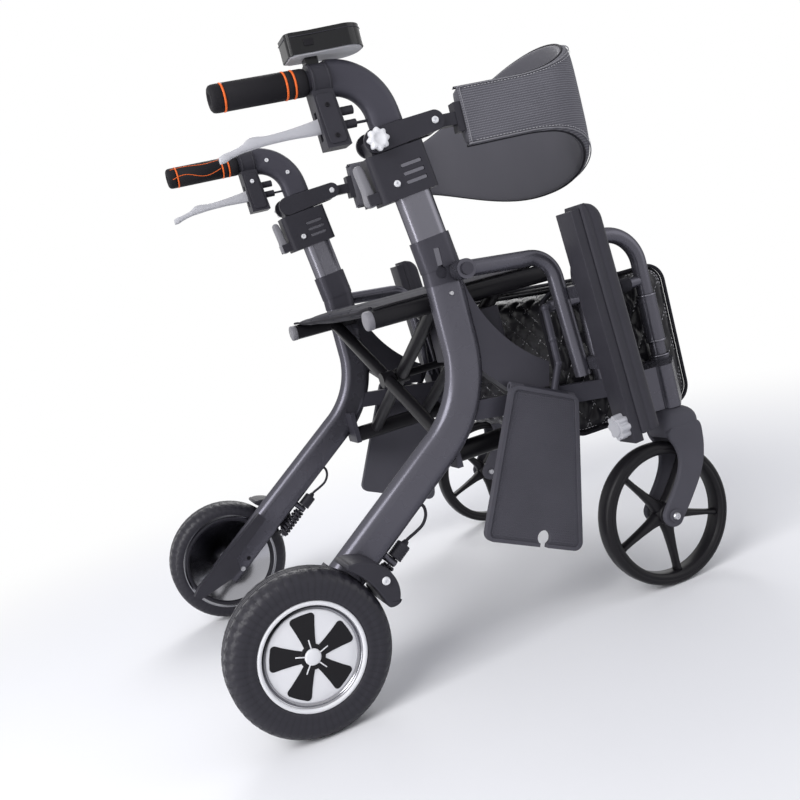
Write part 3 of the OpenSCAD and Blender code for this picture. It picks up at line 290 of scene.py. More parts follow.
@dataclass(frozen=True)
class Finish:
    """One finish: its colour, how it shines, and what it shows when seen close.

    The tone is how far the colour wanders, ``scale`` the pattern's fineness per metre and ``depth``
    its relief in millimetres.
    """

    name: str
    colour: Tuple[int, int, int]
    pattern: Pattern
    roughness: float
    tone: float
    tone_scale: float
    scale: float
    depth: float
    metallic: float = 0.0
    coat: float = 0.0
    sheen: float = 0.0
    gloss: float = 0.5
    edge: float = 1.0
    # a weave's second thread colour, or the dark of the painted reflection on a polished dish
    second: Optional[Tuple[int, int, int]] = None
    uv: bool = False
    centre: Spot = (0.0, 0.0, 0.0)

    def make(self) -> bpy.types.Material:
        """Builds the material.

        Returns:
            The new material.
        """
        shader = Shader(self.name)
        place = shader.place(self.uv, self.centre)
        socket = shader.bsdf.inputs
        for name, value in (
            ("Metallic", self.metallic), ("Coat Weight", self.coat), ("Coat Roughness", COAT_ROUGHNESS),
            ("Sheen Weight", self.sheen), ("Sheen Roughness", SHEEN_ROUGHNESS),
            ("Specular IOR Level", self.gloss), ("Specular Tint", (self.edge, self.edge, self.edge, 1.0)),
        ):
            socket[name].default_value = value
        height, colour = self._relief(shader, place)
        shader.link(colour, socket["Base Color"])
        rough = shader.noise(place, self.tone_scale * 2.3, 3.0)
        low, high = max(self.roughness - ROUGH_SPREAD, LEAST_ROUGH), min(self.roughness + ROUGH_SPREAD, 1.0)
        shader.link(shader.span(rough, low, high), socket["Roughness"])
        shader.link(shader.bump(height, metres(self.depth)), socket["Normal"])
        return shader.material

    def _relief(self, shader: Shader, place: Socket) -> Tuple[Socket, Socket]:
        """The height and the colour that the pattern gives."""
        base, second = srgb(self.colour), srgb(self.second or self.colour)
        dark, light = toned(base, 1.0 - self.tone), toned(base, 1.0 + self.tone)
        tone = shader.noise(place, self.tone_scale, 4.0)
        if self.pattern is Pattern.WEAVE:
            weave = self._weave(shader, place)
            slow = shader.maths("MULTIPLY", tone, 0.3)
            mixed = shader.maths("ADD", shader.maths("MULTIPLY", weave, 0.7), slow)
            return weave, shader.blend(mixed, dark, second)
        if self.pattern is Pattern.SIDEWALL:
            rays = shader.maths("SINE", shader.maths("MULTIPLY", shader.angle(place), 32.0))
            lines = shader.maths("POWER", shader.maths("ABSOLUTE", rays), 0.12)
            grain = shader.maths("MULTIPLY", shader.noise(place, self.scale), 0.3)
            return shader.maths("ADD", lines, grain), shader.blend(lines, toned(dark, 0.45), light)
        # painted reflection: the dish turns towards the dark second colour round one direction about the
        # wheel's axis and stays light elsewhere
        if self.pattern is Pattern.SPUN:
            sweep = shader.maths("COSINE", shader.maths("SUBTRACT", shader.angle(place), 2.1))
            shade = shader.maths("POWER", shader.maths("MAXIMUM", sweep, 0.0), 1.6)
            return tone, shader.blend(shade, light, second)
        plain = shader.blend(tone, dark, light)
        if self.pattern is Pattern.LEATHER:
            cells = shader.node("ShaderNodeTexVoronoi", {"Vector": place, "Scale": self.scale},
                                feature="DISTANCE_TO_EDGE")
            return shader.maths("MINIMUM", cells.outputs["Distance"], 0.25), plain
        if self.pattern is Pattern.BRUSHED:
            fine = shader.node("ShaderNodeMapping", {"Vector": place, "Scale": (1.0, 40.0, 1.0)})
            return shader.noise(fine.outputs["Vector"], self.scale), plain
        return shader.noise(place, self.scale), plain

    def _weave(self, shader: Shader, place: Socket) -> Socket:
        """Crossing threads; on a UV map they are ribs along the cloth."""
        period = 1.0 / self.scale
        one = shader.bands(place, period, "X")
        two = shader.bands(place, period * (1.3 if self.uv else 0.8), "Y" if self.uv else "Z")
        weave = shader.maths("MULTIPLY", shader.span(one, 0.45, 1.0) if self.uv else one, two)
        return shader.maths("ADD", weave, shader.maths("MULTIPLY", shader.noise(place, self.scale), 0.35))


class Look(Enum):
    """The chair's finishes."""

    GRAPHITE = Finish("graphite_coat", (88, 87, 95), Pattern.PEEL, roughness=0.27, tone=0.10, tone_scale=14,
        scale=700, depth=0.03, metallic=0.65, gloss=0.3, edge=0.25)
    CASTING = Finish("cast_coat", (68, 67, 74), Pattern.PEEL, roughness=0.34, tone=0.12, tone_scale=14,
        scale=700, depth=0.05, metallic=0.5, gloss=0.2, edge=0.3)
    BLACK_COAT = Finish("black_coat", (70, 69, 77), Pattern.PEEL, roughness=0.38, tone=0.12, tone_scale=14,
        scale=700, depth=0.04, metallic=0.3, gloss=0.2, edge=0.4)
    SATIN = Finish("satin_anodised", (112, 111, 119), Pattern.BRUSHED, roughness=0.26, tone=0.06, tone_scale=10,
        scale=60, depth=0.02, metallic=0.85, edge=0.25)
    NYLON = Finish("black_nylon", (51, 50, 56), Pattern.GRAIN, roughness=0.44, tone=0.16, tone_scale=22,
        scale=1400, depth=0.06, gloss=0.14)
    TRAY = Finish("grey_moulding", (76, 75, 82), Pattern.GRAIN, roughness=0.6, tone=0.12, tone_scale=20,
        scale=1100, depth=0.1, gloss=0.12)
    PALE = Finish("pale_moulding", (180, 180, 185), Pattern.GRAIN, roughness=0.42, tone=0.05, tone_scale=20,
        scale=1200, depth=0.05, gloss=0.3)
    GREY = Finish("grey_cap", (122, 121, 126), Pattern.GRAIN, roughness=0.45, tone=0.06, tone_scale=20,
        scale=1200, depth=0.05, gloss=0.2)
    WHITE = Finish("white_disc", (220, 220, 223), Pattern.GRAIN, roughness=0.36, tone=0.03, tone_scale=12,
        scale=900, depth=0.03, gloss=0.2)
    GLOSS = Finish("piano_black", (24, 24, 26), Pattern.PEEL, roughness=0.18, tone=0.2, tone_scale=20,
        scale=300, depth=0.02, coat=0.1, gloss=0.2)
    RUBBER = Finish("grip_compound", (34, 33, 36), Pattern.GRAIN, roughness=0.62, tone=0.18, tone_scale=30,
        scale=1000, depth=0.04, gloss=0.08)
    ORANGE = Finish("orange_rubber", (226, 104, 44), Pattern.GRAIN, roughness=0.5, tone=0.08, tone_scale=30,
        scale=1200, depth=0.05, gloss=0.25)
    TYRE = Finish("tyre_rubber", (42, 41, 47), Pattern.SIDEWALL, roughness=0.34, tone=0.16, tone_scale=24,
        scale=800, depth=0.4, gloss=0.22, centre=WHEEL_AT)
    CASTER = Finish("caster_moulding", (27, 26, 29), Pattern.GRAIN, roughness=0.36, tone=0.16, tone_scale=24,
        scale=900, depth=0.04, gloss=0.16)
    # the second colour is the dark of a painted reflection swept round the dish
    CHROME = Finish("polished_rim", (150, 150, 155), Pattern.SPUN, roughness=0.16, tone=0.05, tone_scale=10,
        scale=40, depth=0.01, metallic=1.0, second=(34, 34, 38), centre=WHEEL_AT)
    STEEL = Finish("bright_steel", (188, 188, 193), Pattern.BRUSHED, roughness=0.3, tone=0.06, tone_scale=30,
        scale=80, depth=0.02, metallic=1.0)
    FOAM = Finish("foam_skin", (56, 55, 61), Pattern.LEATHER, roughness=0.5, tone=0.12, tone_scale=14,
        scale=420, depth=0.2, gloss=0.12)
    WEAVE = Finish("woven_sleeve", (62, 61, 66), Pattern.WEAVE, roughness=0.8, tone=0.1, tone_scale=12,
        scale=420, depth=0.3, sheen=0.08, gloss=0.1, second=(126, 125, 132), uv=True)
    LINING = Finish("band_lining", (84, 83, 89), Pattern.LEATHER, roughness=0.62, tone=0.08, tone_scale=10,
        scale=600, depth=0.1, sheen=0.06, gloss=0.1)
    SEAT = Finish("seat_weave", (40, 39, 44), Pattern.WEAVE, roughness=0.82, tone=0.14, tone_scale=10,
        scale=330, depth=0.4, sheen=0.08, gloss=0.1, second=(70, 69, 76))
    PIPING = Finish("pale_piping", (118, 117, 122), Pattern.WEAVE, roughness=0.7, tone=0.08, tone_scale=40,
        scale=700, depth=0.2, gloss=0.2, second=(150, 149, 154))
    HEM = Finish("dark_hem", (30, 29, 33), Pattern.WEAVE, roughness=0.75, tone=0.12, tone_scale=30,
        scale=700, depth=0.2, gloss=0.1, second=(52, 51, 57))
    QUILT = Finish("quilted_skin", (32, 31, 35), Pattern.LEATHER, roughness=0.34, tone=0.16, tone_scale=16,
        scale=380, depth=0.2, gloss=0.28)
    THREAD = Finish("silver_thread", (196, 195, 198), Pattern.GRAIN, roughness=0.5, tone=0.1, tone_scale=60,
        scale=900, depth=0.05, gloss=0.3)

    def material(self) -> bpy.types.Material:
        """The finish's material, made once."""
        return bpy.data.materials.get(self.value.name) or self.value.make()


CAD_LOOKS: Dict[str, Look] = {
    "frame_paint": Look.GRAPHITE, "black_paint": Look.BLACK_COAT, "satin_tube": Look.SATIN,
    "black_plastic": Look.NYLON, "grey_plastic": Look.TRAY, "pale_plastic": Look.PALE,
    "gloss_black": Look.GLOSS, "grip_rubber": Look.RUBBER, "wheel_black": Look.CASTER,
    "tyre": Look.TYRE, "cable_black": Look.NYLON, "pad_foam": Look.FOAM,
    "woven_cloth": Look.WEAVE, "bag_cloth": Look.QUILT,
}
NODE_LOOKS: Dict[str, Look] = {"side_casting": Look.CASTING, "tip_pedal": Look.NYLON, "brace": Look.CASTER}


# Mesh making


def placed(name: str, data: bpy.types.ID) -> Piece:
    """A new object in the scene for a mesh, a lamp or a camera."""
    obj = bpy.data.objects.new(name, data)
    bpy.context.scene.collection.objects.link(obj)
    return obj


def new_object(name: str, data: MeshData, tidy: bool = True) -> Piece:
    """Makes a mesh object in the scene.

    Args:
        name: the piece's name.
        data: vertices in metres and faces.
        tidy: merge doubles and turn the faces outwards.

    Returns:
        The new object, shaded smooth.
    """
    mesh = bpy.data.meshes.new(name)
    mesh.from_pydata([tuple(v) for v in data[0]], [], data[1])
    if tidy:
        work = bmesh.new()
        work.from_mesh(mesh)
        bmesh.ops.remove_doubles(work, verts=work.verts, dist=1e-6)
        bmesh.ops.recalc_face_normals(work, faces=work.faces)
        work.to_mesh(mesh)
        work.free()
    mesh.shade_smooth()
    return placed(name, mesh)


def applied(obj: Piece) -> None:
    """Turns an object's modifiers into its mesh."""
    evaluated = obj.evaluated_get(bpy.context.evaluated_depsgraph_get())
    mesh = bpy.data.meshes.new_from_object(evaluated)
    obj.modifiers.clear()
    obj.data = mesh


def thickened(obj: Piece, thickness: float, offset: float) -> None:
    """Gives a skin a thickness in millimetres, on its inside for an offset of -1."""
    thick = obj.modifiers.new("thick", "SOLIDIFY")
    thick.thickness, thick.offset = metres(thickness), offset
    applied(obj)


def settle(obj: Piece, look: Look, body: str, slot: str,
           stands_for: Sequence[str] = ()) -> Piece:
    """Gives a piece its finish and body, and hides what it stands for.

    Args:
        obj: the piece.
        look: its finish.
        body: the CAD body that it moves with.
        slot: the record's material slot; not used.
        stands_for: CAD nodes that it replaces.

    Returns:
        The piece.
    """
    if not obj.data.materials:
        obj.data.materials.append(look.material())
    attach(obj, body)
    if stands_for:
        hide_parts(*stands_for)
    log.info("%s: %d faces on %s", obj.name, len(obj.data.polygons), body)
    return obj


def joined(parts: Iterable[MeshData]) -> MeshData:
    """Several meshes as one."""
    verts: List[Spot] = []
    faces: List[Tuple[int, ...]] = []
    for part_verts, part_faces in parts:
        start = len(verts)
        verts.extend(part_verts)
        faces.extend(tuple(i + start for i in f) for f in part_faces)
    return verts, faces


def grid_faces(rows: int, columns: int, closed: bool = False) -> List[Tuple[int, ...]]:
    """Quads over rows of points, each row closed or open."""
    made = []
    for i in range(rows - 1):
        a, b = i * columns, (i + 1) * columns
        for j in range(columns if closed else columns - 1):
            k = (j + 1) % columns
            made.append((a + j, a + k, b + k, b + j))
    return made


def lofted(rings: Rings, caps: bool = True, closed: bool = False) -> MeshData:
    """A skin over rings of the same number of points.

    Args:
        rings: the rings, each a closed loop.
        caps: close the first and last ring with a fan about its middle.
        closed: join the last ring to the first.

    Returns:
        Vertices and faces.
    """
    sides, count = len(rings[0]), len(rings)
    verts = [p for ring in rings for p in ring]
    faces = grid_faces(count, sides, closed=True)
    last = (count - 1) * sides
    if closed:
        faces += [(last + j, last + (j + 1) % sides, (j + 1) % sides, j) for j in range(sides)]
    elif caps:
        for start in (0, last):
            verts.append(tuple(np.array(verts[start:start + sides]).mean(0)))
            middle = len(verts) - 1
            faces.extend((start + j, start + (j + 1) % sides, middle) for j in range(sides))
    return verts, faces


def frames_along(path: np.ndarray) -> Tuple[np.ndarray, np.ndarray]:
    """Two unit directions square to a path at each of its points, turned as little as possible."""
    way = np.gradient(path, axis=0)
    way /= np.linalg.norm(way, axis=1)[:, None]
    first = np.cross(way[0], (0.0, 1.0, 0.0))
    if np.linalg.norm(first) < 0.1:
        first = np.cross(way[0], (1.0, 0.0, 0.0))
    sides = [first / np.linalg.norm(first)]
    for w in way[1:]:
        side = sides[-1] - w * np.dot(sides[-1], w)
        sides.append(side / np.linalg.norm(side))
    one = np.array(sides)
    return one, np.cross(way, one)


def tube(path: Sequence[Point], radius: float, sides: int = 10, closed: bool = False) -> MeshData:
    """A round tube of one radius in millimetres along points in metres."""
    points = np.array(path, float)
    if closed:
        points = np.vstack([points, points[:1]])
    r = metres(radius)
    rings = [
        [tuple(p + r * (c * n + s * b)) for c, s in directions(sides)]
        for p, n, b in zip(points, *frames_along(points))
    ]
    return lofted(rings[:-1] if closed else rings, not closed, closed)


def curve_through(points: Sequence[Point], steps: int) -> List[Spot]:
    """Points on a smooth curve through the given ones, ``steps`` to each stretch."""
    p = np.array(points, float)
    p = np.vstack([2 * p[0] - p[1], p, 2 * p[-1] - p[-2]])
    made = []
    for i in range(1, len(p) - 2):
        for t in (k / steps for k in range(steps)):
            made.append(tuple(0.5 * (
                2 * p[i] + (p[i + 1] - p[i - 1]) * t
                + (2 * p[i - 1] - 5 * p[i] + 4 * p[i + 1] - p[i + 2]) * t * t
                + (3 * p[i] - p[i - 1] - 3 * p[i + 1] + p[i + 2]) * t ** 3
            )))
    made.append(tuple(p[-2]))
    return made


def closed_curve(points: Sequence[Flat], steps: int) -> List[Flat]:
    """A smooth closed outline through the given points."""
    wrapped = [(x, z, 0.0) for x, z in (*points[-2:], *points, *points[:2])]
    fine = curve_through(wrapped, steps)
    return [(x, z) for x, z, _ in fine[2 * steps:(len(points) + 2) * steps]]


def turned(profile: Sequence[Flat], origin: Point, axis: Point, sides: int, loop: bool = False,
           shift: Optional[Shift] = None) -> MeshData:
    """A turned shape.

    Args:
        profile: distance along the axis and radius, in millimetres.
        origin: where the axis starts, in chair millimetres.
        axis: its direction.
        sides: steps round the axis.
        loop: the profile is a closed loop.
        shift: change of radius for a profile point and a step.

    Returns:
        Vertices and faces.
    """
    way = Vector(axis).normalized()
    one = way.cross(Vector((0, 0, 1)) if abs(way.z) < 0.9 else Vector((1, 0, 0))).normalized()
    two = way.cross(one)
    rings: Rings = []
    for i, (along, radius) in enumerate(profile):
        ring = []
        for j, (c, s) in enumerate(directions(sides)):
            r = radius + (shift(i, j) if shift else 0.0)
            ring.append(at(*(Vector(origin) + way * along + (one * c + two * s) * r)))
        rings.append(ring)
    return lofted(rings, not loop, loop)


def slab(outline: Sequence[Flat], low: float, high: float, edge: float, lay: Lay) -> MeshData:
    """A plate with softened rims.

    Args:
        outline: the plate's outline in its own two directions, in millimetres.
        low: its lower face.
        high: its upper face.
        edge: how far the rim is rounded.
        lay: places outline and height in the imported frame.

    Returns:
        Vertices and faces.
    """
    points = np.array(outline, float)
    after = np.roll(points, -1, 0)
    way = after - np.roll(points, 1, 0)
    normal = np.stack([way[:, 1], -way[:, 0]], 1)
    normal /= np.maximum(np.linalg.norm(normal, axis=1), 1e-9)[:, None]
    area = 0.5 * np.sum(points[:, 0] * after[:, 1] - after[:, 0] * points[:, 1])
    normal *= copysign(1.0, area)
    margin, bevel = edge + min(edge, 0.5), edge * 0.3
    steps = [(margin, low), (edge, low), (bevel, low + bevel), (0, low + edge),
             (0, high - edge), (bevel, high - bevel), (edge, high), (margin, high)]
    rings = [[lay(x, y, h) for x, y in points - normal * inset] for inset, h in steps]
    verts, faces = lofted(rings, caps=False)
    sides = len(points)
    return verts, faces + [tuple(range(sides)), tuple(range(len(verts) - sides, len(verts)))]


def bar(route: Route, sides: int, powers: Flat, lay: Callable[[float, float, float, float], Spot]) -> MeshData:
    """A smooth bar with a rounded section.

    Args:
        route: two coordinates, half the depth and half the width at each place.
        sides: points round the section.
        powers: how square the section is across and in depth.
        lay: places a route point, moved across and in depth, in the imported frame.

    Returns:
        Vertices and faces.
    """
    fine = curve_through([place[:3] for place in route], 5)
    wide = curve_through([(place[3], 0, 0) for place in route], 5)
    return lofted([
        [lay(a, b, half * bent(c, powers[0]), deep * bent(s, powers[1])) for c, s in directions(sides)]
        for (a, b, deep), (half, _, _) in zip(fine, wide)
    ])


# Repeats made with geometry nodes


class ShapeTree:
    """A geometry node tree with named sizes."""

    def __init__(self, name: str, sizes: Dict[str, float]) -> None:
        """Starts a tree with one geometry input and output and sizes in metres as inputs."""
        self.sizes = sizes
        self.group = bpy.data.node_groups.new(name, "GeometryNodeTree")
        for way in ("INPUT", "OUTPUT"):
            self.group.interface.new_socket("Geometry", in_out=way, socket_type="NodeSocketGeometry")
        for size in sizes:
            self.group.interface.new_socket(size, in_out="INPUT", socket_type="NodeSocketFloat")
        self.start = self.group.nodes.new("NodeGroupInput")
        self.end = self.group.nodes.new("NodeGroupOutput")

    def node(self, kind: str, inputs: Optional[Inputs] = None,
             **settings: object) -> bpy.types.Node:
        """Adds a node to the tree, as ``add_node`` does."""
        return add_node(self.group, kind, inputs, settings)

    def close(self, geometry: Socket, material: bpy.types.Material) -> None:
        """Ends the tree in real geometry with a material."""
        real = self.node("GeometryNodeRealizeInstances", {"Geometry": geometry})
        done = self.node("GeometryNodeSetMaterial", {"Geometry": real.outputs[0], "Material": material})
        self.group.links.new(done.outputs[0], self.end.inputs[0])

    def run(self, obj: Piece) -> None:
        """Runs the tree on an object that carries points or lines, and leaves a plain mesh."""
        made = obj.modifiers.new("repeat", "NODES")
        made.node_group = self.group
        for item in self.group.interface.items_tree:
            if item.item_type == "SOCKET" and item.in_out == "INPUT" and item.name in self.sizes:
                made[item.identifier] = self.sizes[item.name]
        applied(obj)


@dataclass
class ScrewSet:
    """Socket-head screws at points, each facing its own way."""

    name: str
    body: str
    look: Look
    slot: str
    radius: float
    height: float
    places: List[Tuple[Point, Point]]

    # Shares of the head's radius and height, its steps, and the socket's length in metres
    rim_share = 0.8
    key_share = 0.45
    seat_share = 0.6
    steps = 20
    key_length = 0.02

    def tree(self) -> ShapeTree:
        """The node tree: a drilled head on every point, along its facing."""
        made = ShapeTree(f"{self.name}_tree", {"Radius": metres(self.radius), "Height": metres(self.height)})
        radius, height = made.start.outputs["Radius"], made.start.outputs["Height"]

        def share(size: Socket, part: float) -> Socket:
            """A part of a size."""
            return made.node("ShaderNodeMath", {0: size, 1: part}, operation="MULTIPLY").outputs[0]

        def cone(steps: int, top: Socket, bottom: Socket, depth: object, lift: object = 0.0) -> Socket:
            """A cone that starts at a lift."""
            solid = made.node("GeometryNodeMeshCone", {
                "Vertices": steps, "Radius Top": top, "Radius Bottom": bottom, "Depth": depth})
            move = made.node("ShaderNodeCombineXYZ", {"Z": lift})
            return made.node("GeometryNodeTransform", {
                "Geometry": solid.outputs[0], "Translation": move.outputs[0]}).outputs[0]

        seat, key = share(height, self.seat_share), share(radius, self.key_share)
        low = cone(self.steps, radius, radius, seat)
        high = cone(self.steps, share(radius, self.rim_share), radius, height, seat)
        socket = cone(6, key, key, self.key_length, height)
        drilled = made.node("GeometryNodeMeshBoolean", {0: high, 1: socket}, operation="DIFFERENCE")
        head = made.node("GeometryNodeJoinGeometry")
        for part in (low, drilled.outputs[0]):
            made.group.links.new(part, head.inputs[0])
        facing = made.node("GeometryNodeInputNamedAttribute", {"Name": "facing"}, data_type="FLOAT_VECTOR")
        turn = made.node("FunctionNodeAlignRotationToVector", {"Vector": facing.outputs[0]}, axis="Z")
        points = made.node("GeometryNodeMeshToPoints", {"Mesh": made.start.outputs[0]})
        heads = made.node("GeometryNodeInstanceOnPoints", {
            "Points": points.outputs[0], "Instance": head.outputs[0], "Rotation": turn.outputs[0]})
        made.close(heads.outputs[0], self.look.material())
        return made

    def build(self) -> Piece:
        """Makes the screws as one piece."""
        obj = new_object(self.name, ([at(*p) for p, _ in self.places], []), tidy=False)
        attribute = obj.data.attributes.new("facing", "FLOAT_VECTOR", "POINT")
        attribute.data.foreach_set("vector", [c for _, way in self.places for c in way])
        self.tree().run(obj)
        return settle(obj, self.look, self.body, self.slot)


@dataclass
class BeadRows:
    """Beads, stitches or tread pips along lines."""

    name: str
    look: Look
    pitch: float
    length: float
    width: float
    lines: List[List[Spot]] = field(default_factory=list)

    def tree(self) -> ShapeTree:
        """The node tree: small ellipsoids spaced along each line and turned with it."""
        made = ShapeTree(f"{self.name}_tree", {
            "Pitch": metres(self.pitch), "Length": metres(self.length), "Width": metres(self.width)})
        given = made.start.outputs
        line = made.node("GeometryNodeMeshToCurve", {"Mesh": given[0]})
        even = made.node("GeometryNodeResampleCurve", {"Curve": line.outputs[0], "Length": given["Pitch"]},
                         mode="LENGTH")
        ball = made.node("GeometryNodeMeshUVSphere", {"Segments": 6, "Rings": 4, "Radius": 0.5})
        shape = made.node("ShaderNodeCombineXYZ", {
            "X": given["Width"], "Y": given["Width"], "Z": given["Length"]})
        tangent = made.node("GeometryNodeInputTangent")
        turn = made.node("FunctionNodeAlignRotationToVector", {"Vector": tangent.outputs[0]}, axis="Z")
        beads = made.node("GeometryNodeInstanceOnPoints", {
            "Points": even.outputs[0], "Instance": ball.outputs[0],
            "Rotation": turn.outputs[0], "Scale": shape.outputs[0]})
        made.close(beads.outputs[0], self.look.material())
        return made

    def build(self) -> Piece:
        """Makes the rows as one mesh, not yet settled on a body."""
        verts: List[Spot] = []
        edges: List[Tuple[int, int]] = []
        for line in self.lines:
            start = len(verts)
            verts.extend(line)
            edges.extend((start + i, start + i + 1) for i in range(len(line) - 1))
        mesh = bpy.data.meshes.new(self.name)
        mesh.from_pydata([tuple(v) for v in verts], edges, [])
        obj = placed(self.name, mesh)
        self.tree().run(obj)
        obj.data.shade_smooth()
        return obj


def runs(points: Iterable[Optional[Spot]]) -> List[List[Spot]]:
    """The stretches of more than three points between the gaps in a line."""
    made: List[List[Spot]] = []
    line: List[Spot] = []
    for point in (*points, None):
        if point is not None:
            line.append(point)
            continue
        if len(line) > 3:
            made.append(line)
        line = []
    return made


# Sub-assemblies


@dataclass
class Backrest:
    """The curved band: a padded lining with a woven sleeve outside it."""

    rear: float = 392.0
    front: float = 646.0
    straight: float = 128.0
    thickness: float = 20.0
    end_height: float = 76.0
    middle_height: float = 218.0
    middle_z: float = 688.123
    roundness: float = 0.88
    flare: float = 0.8
    turn: float = 0.3
    steps: int = 150
    face_power: float = 0.42
    rim_power: float = 0.55
    wrap: float = 104.0
    across: int = 26
    hem_share: float = 1.12
    body: str = "link_right"
    slot: str = "woven_cloth"

    def point(self, t: float) -> np.ndarray:
        """The band's middle line at t, from -1 at the right end to 1 at the left end."""
        bow = self.front - self.thickness / 2 - self.rear - self.straight
        if abs(t) > 1.0 - self.turn:
            return np.array([self.rear + self.straight * (1 - abs(t)) / self.turn, copysign(LEG_Y, t)])
        a = radians(90.0 * t / (1.0 - self.turn))
        y = LEG_Y * copysign(abs(sin(a)) ** self.roundness, a)
        return np.array([self.rear + self.straight + bow * max(cos(a), 0.0) ** self.roundness, y])

    def half_height(self, t: float) -> float:
        """Half the band's height at t."""
        flare = smooth(1.0 - abs(t) / self.flare)
        return (self.end_height + (self.middle_height - self.end_height) * flare) / 2

    def normal(self, t: float) -> np.ndarray:
        """The outward direction at t."""
        way = self.point(min(t + 0.01, 1.0)) - self.point(max(t - 0.01, -1.0))
        return np.array([way[1], -way[0]]) / np.linalg.norm(way)

    def place(self, t: float, out: float, z: float) -> Spot:
        """A point out from the middle line and z up from the band's middle height."""
        p = self.point(t) + self.normal(t) * out
        return at(p[0], p[1], self.middle_z + z)

    def stations(self) -> List[float]:
        """Steps along the band."""
        return [-1.0 + 2.0 * i / self.steps for i in range(self.steps + 1)]

    def line(self, out: float, share: float, lift: float = 0.0, trim: int = 0) -> List[Spot]:
        """A line along the band.

        Args:
            out: its distance out from the middle line.
            share: its share of the half height, negative below the middle.
            lift: a distance added beyond that share.
            trim: stations left out at each end.

        Returns:
            Its points.
        """
        stations = self.stations()[trim:self.steps + 1 - trim]
        return [self.place(t, out, share * self.half_height(t) + copysign(lift, share)) for t in stations]

    def section(self, t: float) -> List[Flat]:
        """The lining's section: full inside, flatter outside, rolled at the rims."""
        half, h = self.thickness / 2 - 1.6, self.half_height(t)
        made = []
        for c, s in directions(40):
            out = half * bent(c, self.face_power)
            if c < 0:
                out = -self.thickness / 2 + 0.4 + (1 - abs(c) ** self.face_power) * half * 0.9
            made.append((out, h * bent(s, self.rim_power)))
        return made

    def rings(self) -> Rings:
        """The lining's rings, drawn in a little at the two ends."""
        made = []
        for t in self.stations():
            ease = sqrt(max(1.0 - max(abs(t) - 0.985, 0.0) / 0.015, 0.0)) * 0.15 + 0.85
            made.append([self.place(t, out * ease, z * ease) for out, z in self.section(t)])
        return made

    def sleeve(self) -> Tuple[Piece, float]:
        """The woven sleeve over the outside, with its own UV map.

        Returns:
            The sleeve as a skin, and its length along the band in metres.
        """
        cover = [radians(-self.wrap + 2 * self.wrap * j / self.across) for j in range(self.across + 1)]
        half, n = self.thickness / 2 - 0.7, self.across + 1
        verts = []
        for t in self.stations():
            h = self.half_height(t) * 0.985 + 0.6
            for a in cover:
                out = half * bent(cos(a), self.face_power)
                verts.append(self.place(t, out, h * bent(sin(a), self.rim_power)))
        obj = new_object("backrest_sleeve", (verts, grid_faces(self.steps + 1, n)), tidy=False)
        steps = np.linalg.norm(np.diff(np.array(verts[n // 2::n]), axis=0), axis=1)
        along = np.concatenate([[0.0], np.cumsum(steps)])
        layer = obj.data.uv_layers.new(name="cloth")
        for loop in obj.data.loops:
            layer.data[loop.index].uv = (along[loop.vertex_index // n], verts[loop.vertex_index][2])
        return obj, float(along[-1])

    def build(self) -> None:
        """Makes lining, sleeve, piping and seams."""
        face = self.thickness / 2
        pad = new_object("backrest_lining", lofted(self.rings()))
        settle(pad, Look.LINING, self.body, self.slot, ["backrest_band"])
        sleeve, length = self.sleeve()
        settle(sleeve, Look.WEAVE, self.body, self.slot)
        thickened(sleeve, 0.9, 0.0)
        cords = [tube(self.line(face - 1.6, share), 0.9, 8) for share in (-0.965, 0.965)]
        for t in (-0.992, 0.992):
            heights = [self.half_height(t) * (-0.93 + 1.86 * k / 20) for k in range(21)]
            cords.append(tube([self.place(t, face - 0.9, z) for z in heights], 0.8, 8))
        hems = [tube(self.line(-1.0, share, 0.2), 1.7, 8) for share in (-1.0, 1.0)]
        rows = BeadRows("backrest_stitches", Look.THREAD, pitch=5.0, length=3.4, width=0.7)
        rows.lines = [self.line(face - 0.5, share, trim=2) for share in (-0.9, 0.9)]
        pieces = [
            pad, sleeve,
            settle(new_object("backrest_piping", joined(cords)), Look.PIPING, self.body, self.slot),
            settle(new_object("backrest_hem", joined(hems)), Look.HEM, self.body, self.slot),
            settle(rows.build(), Look.THREAD, self.body, self.slot),
        ]
        for piece in pieces:
            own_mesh(piece)


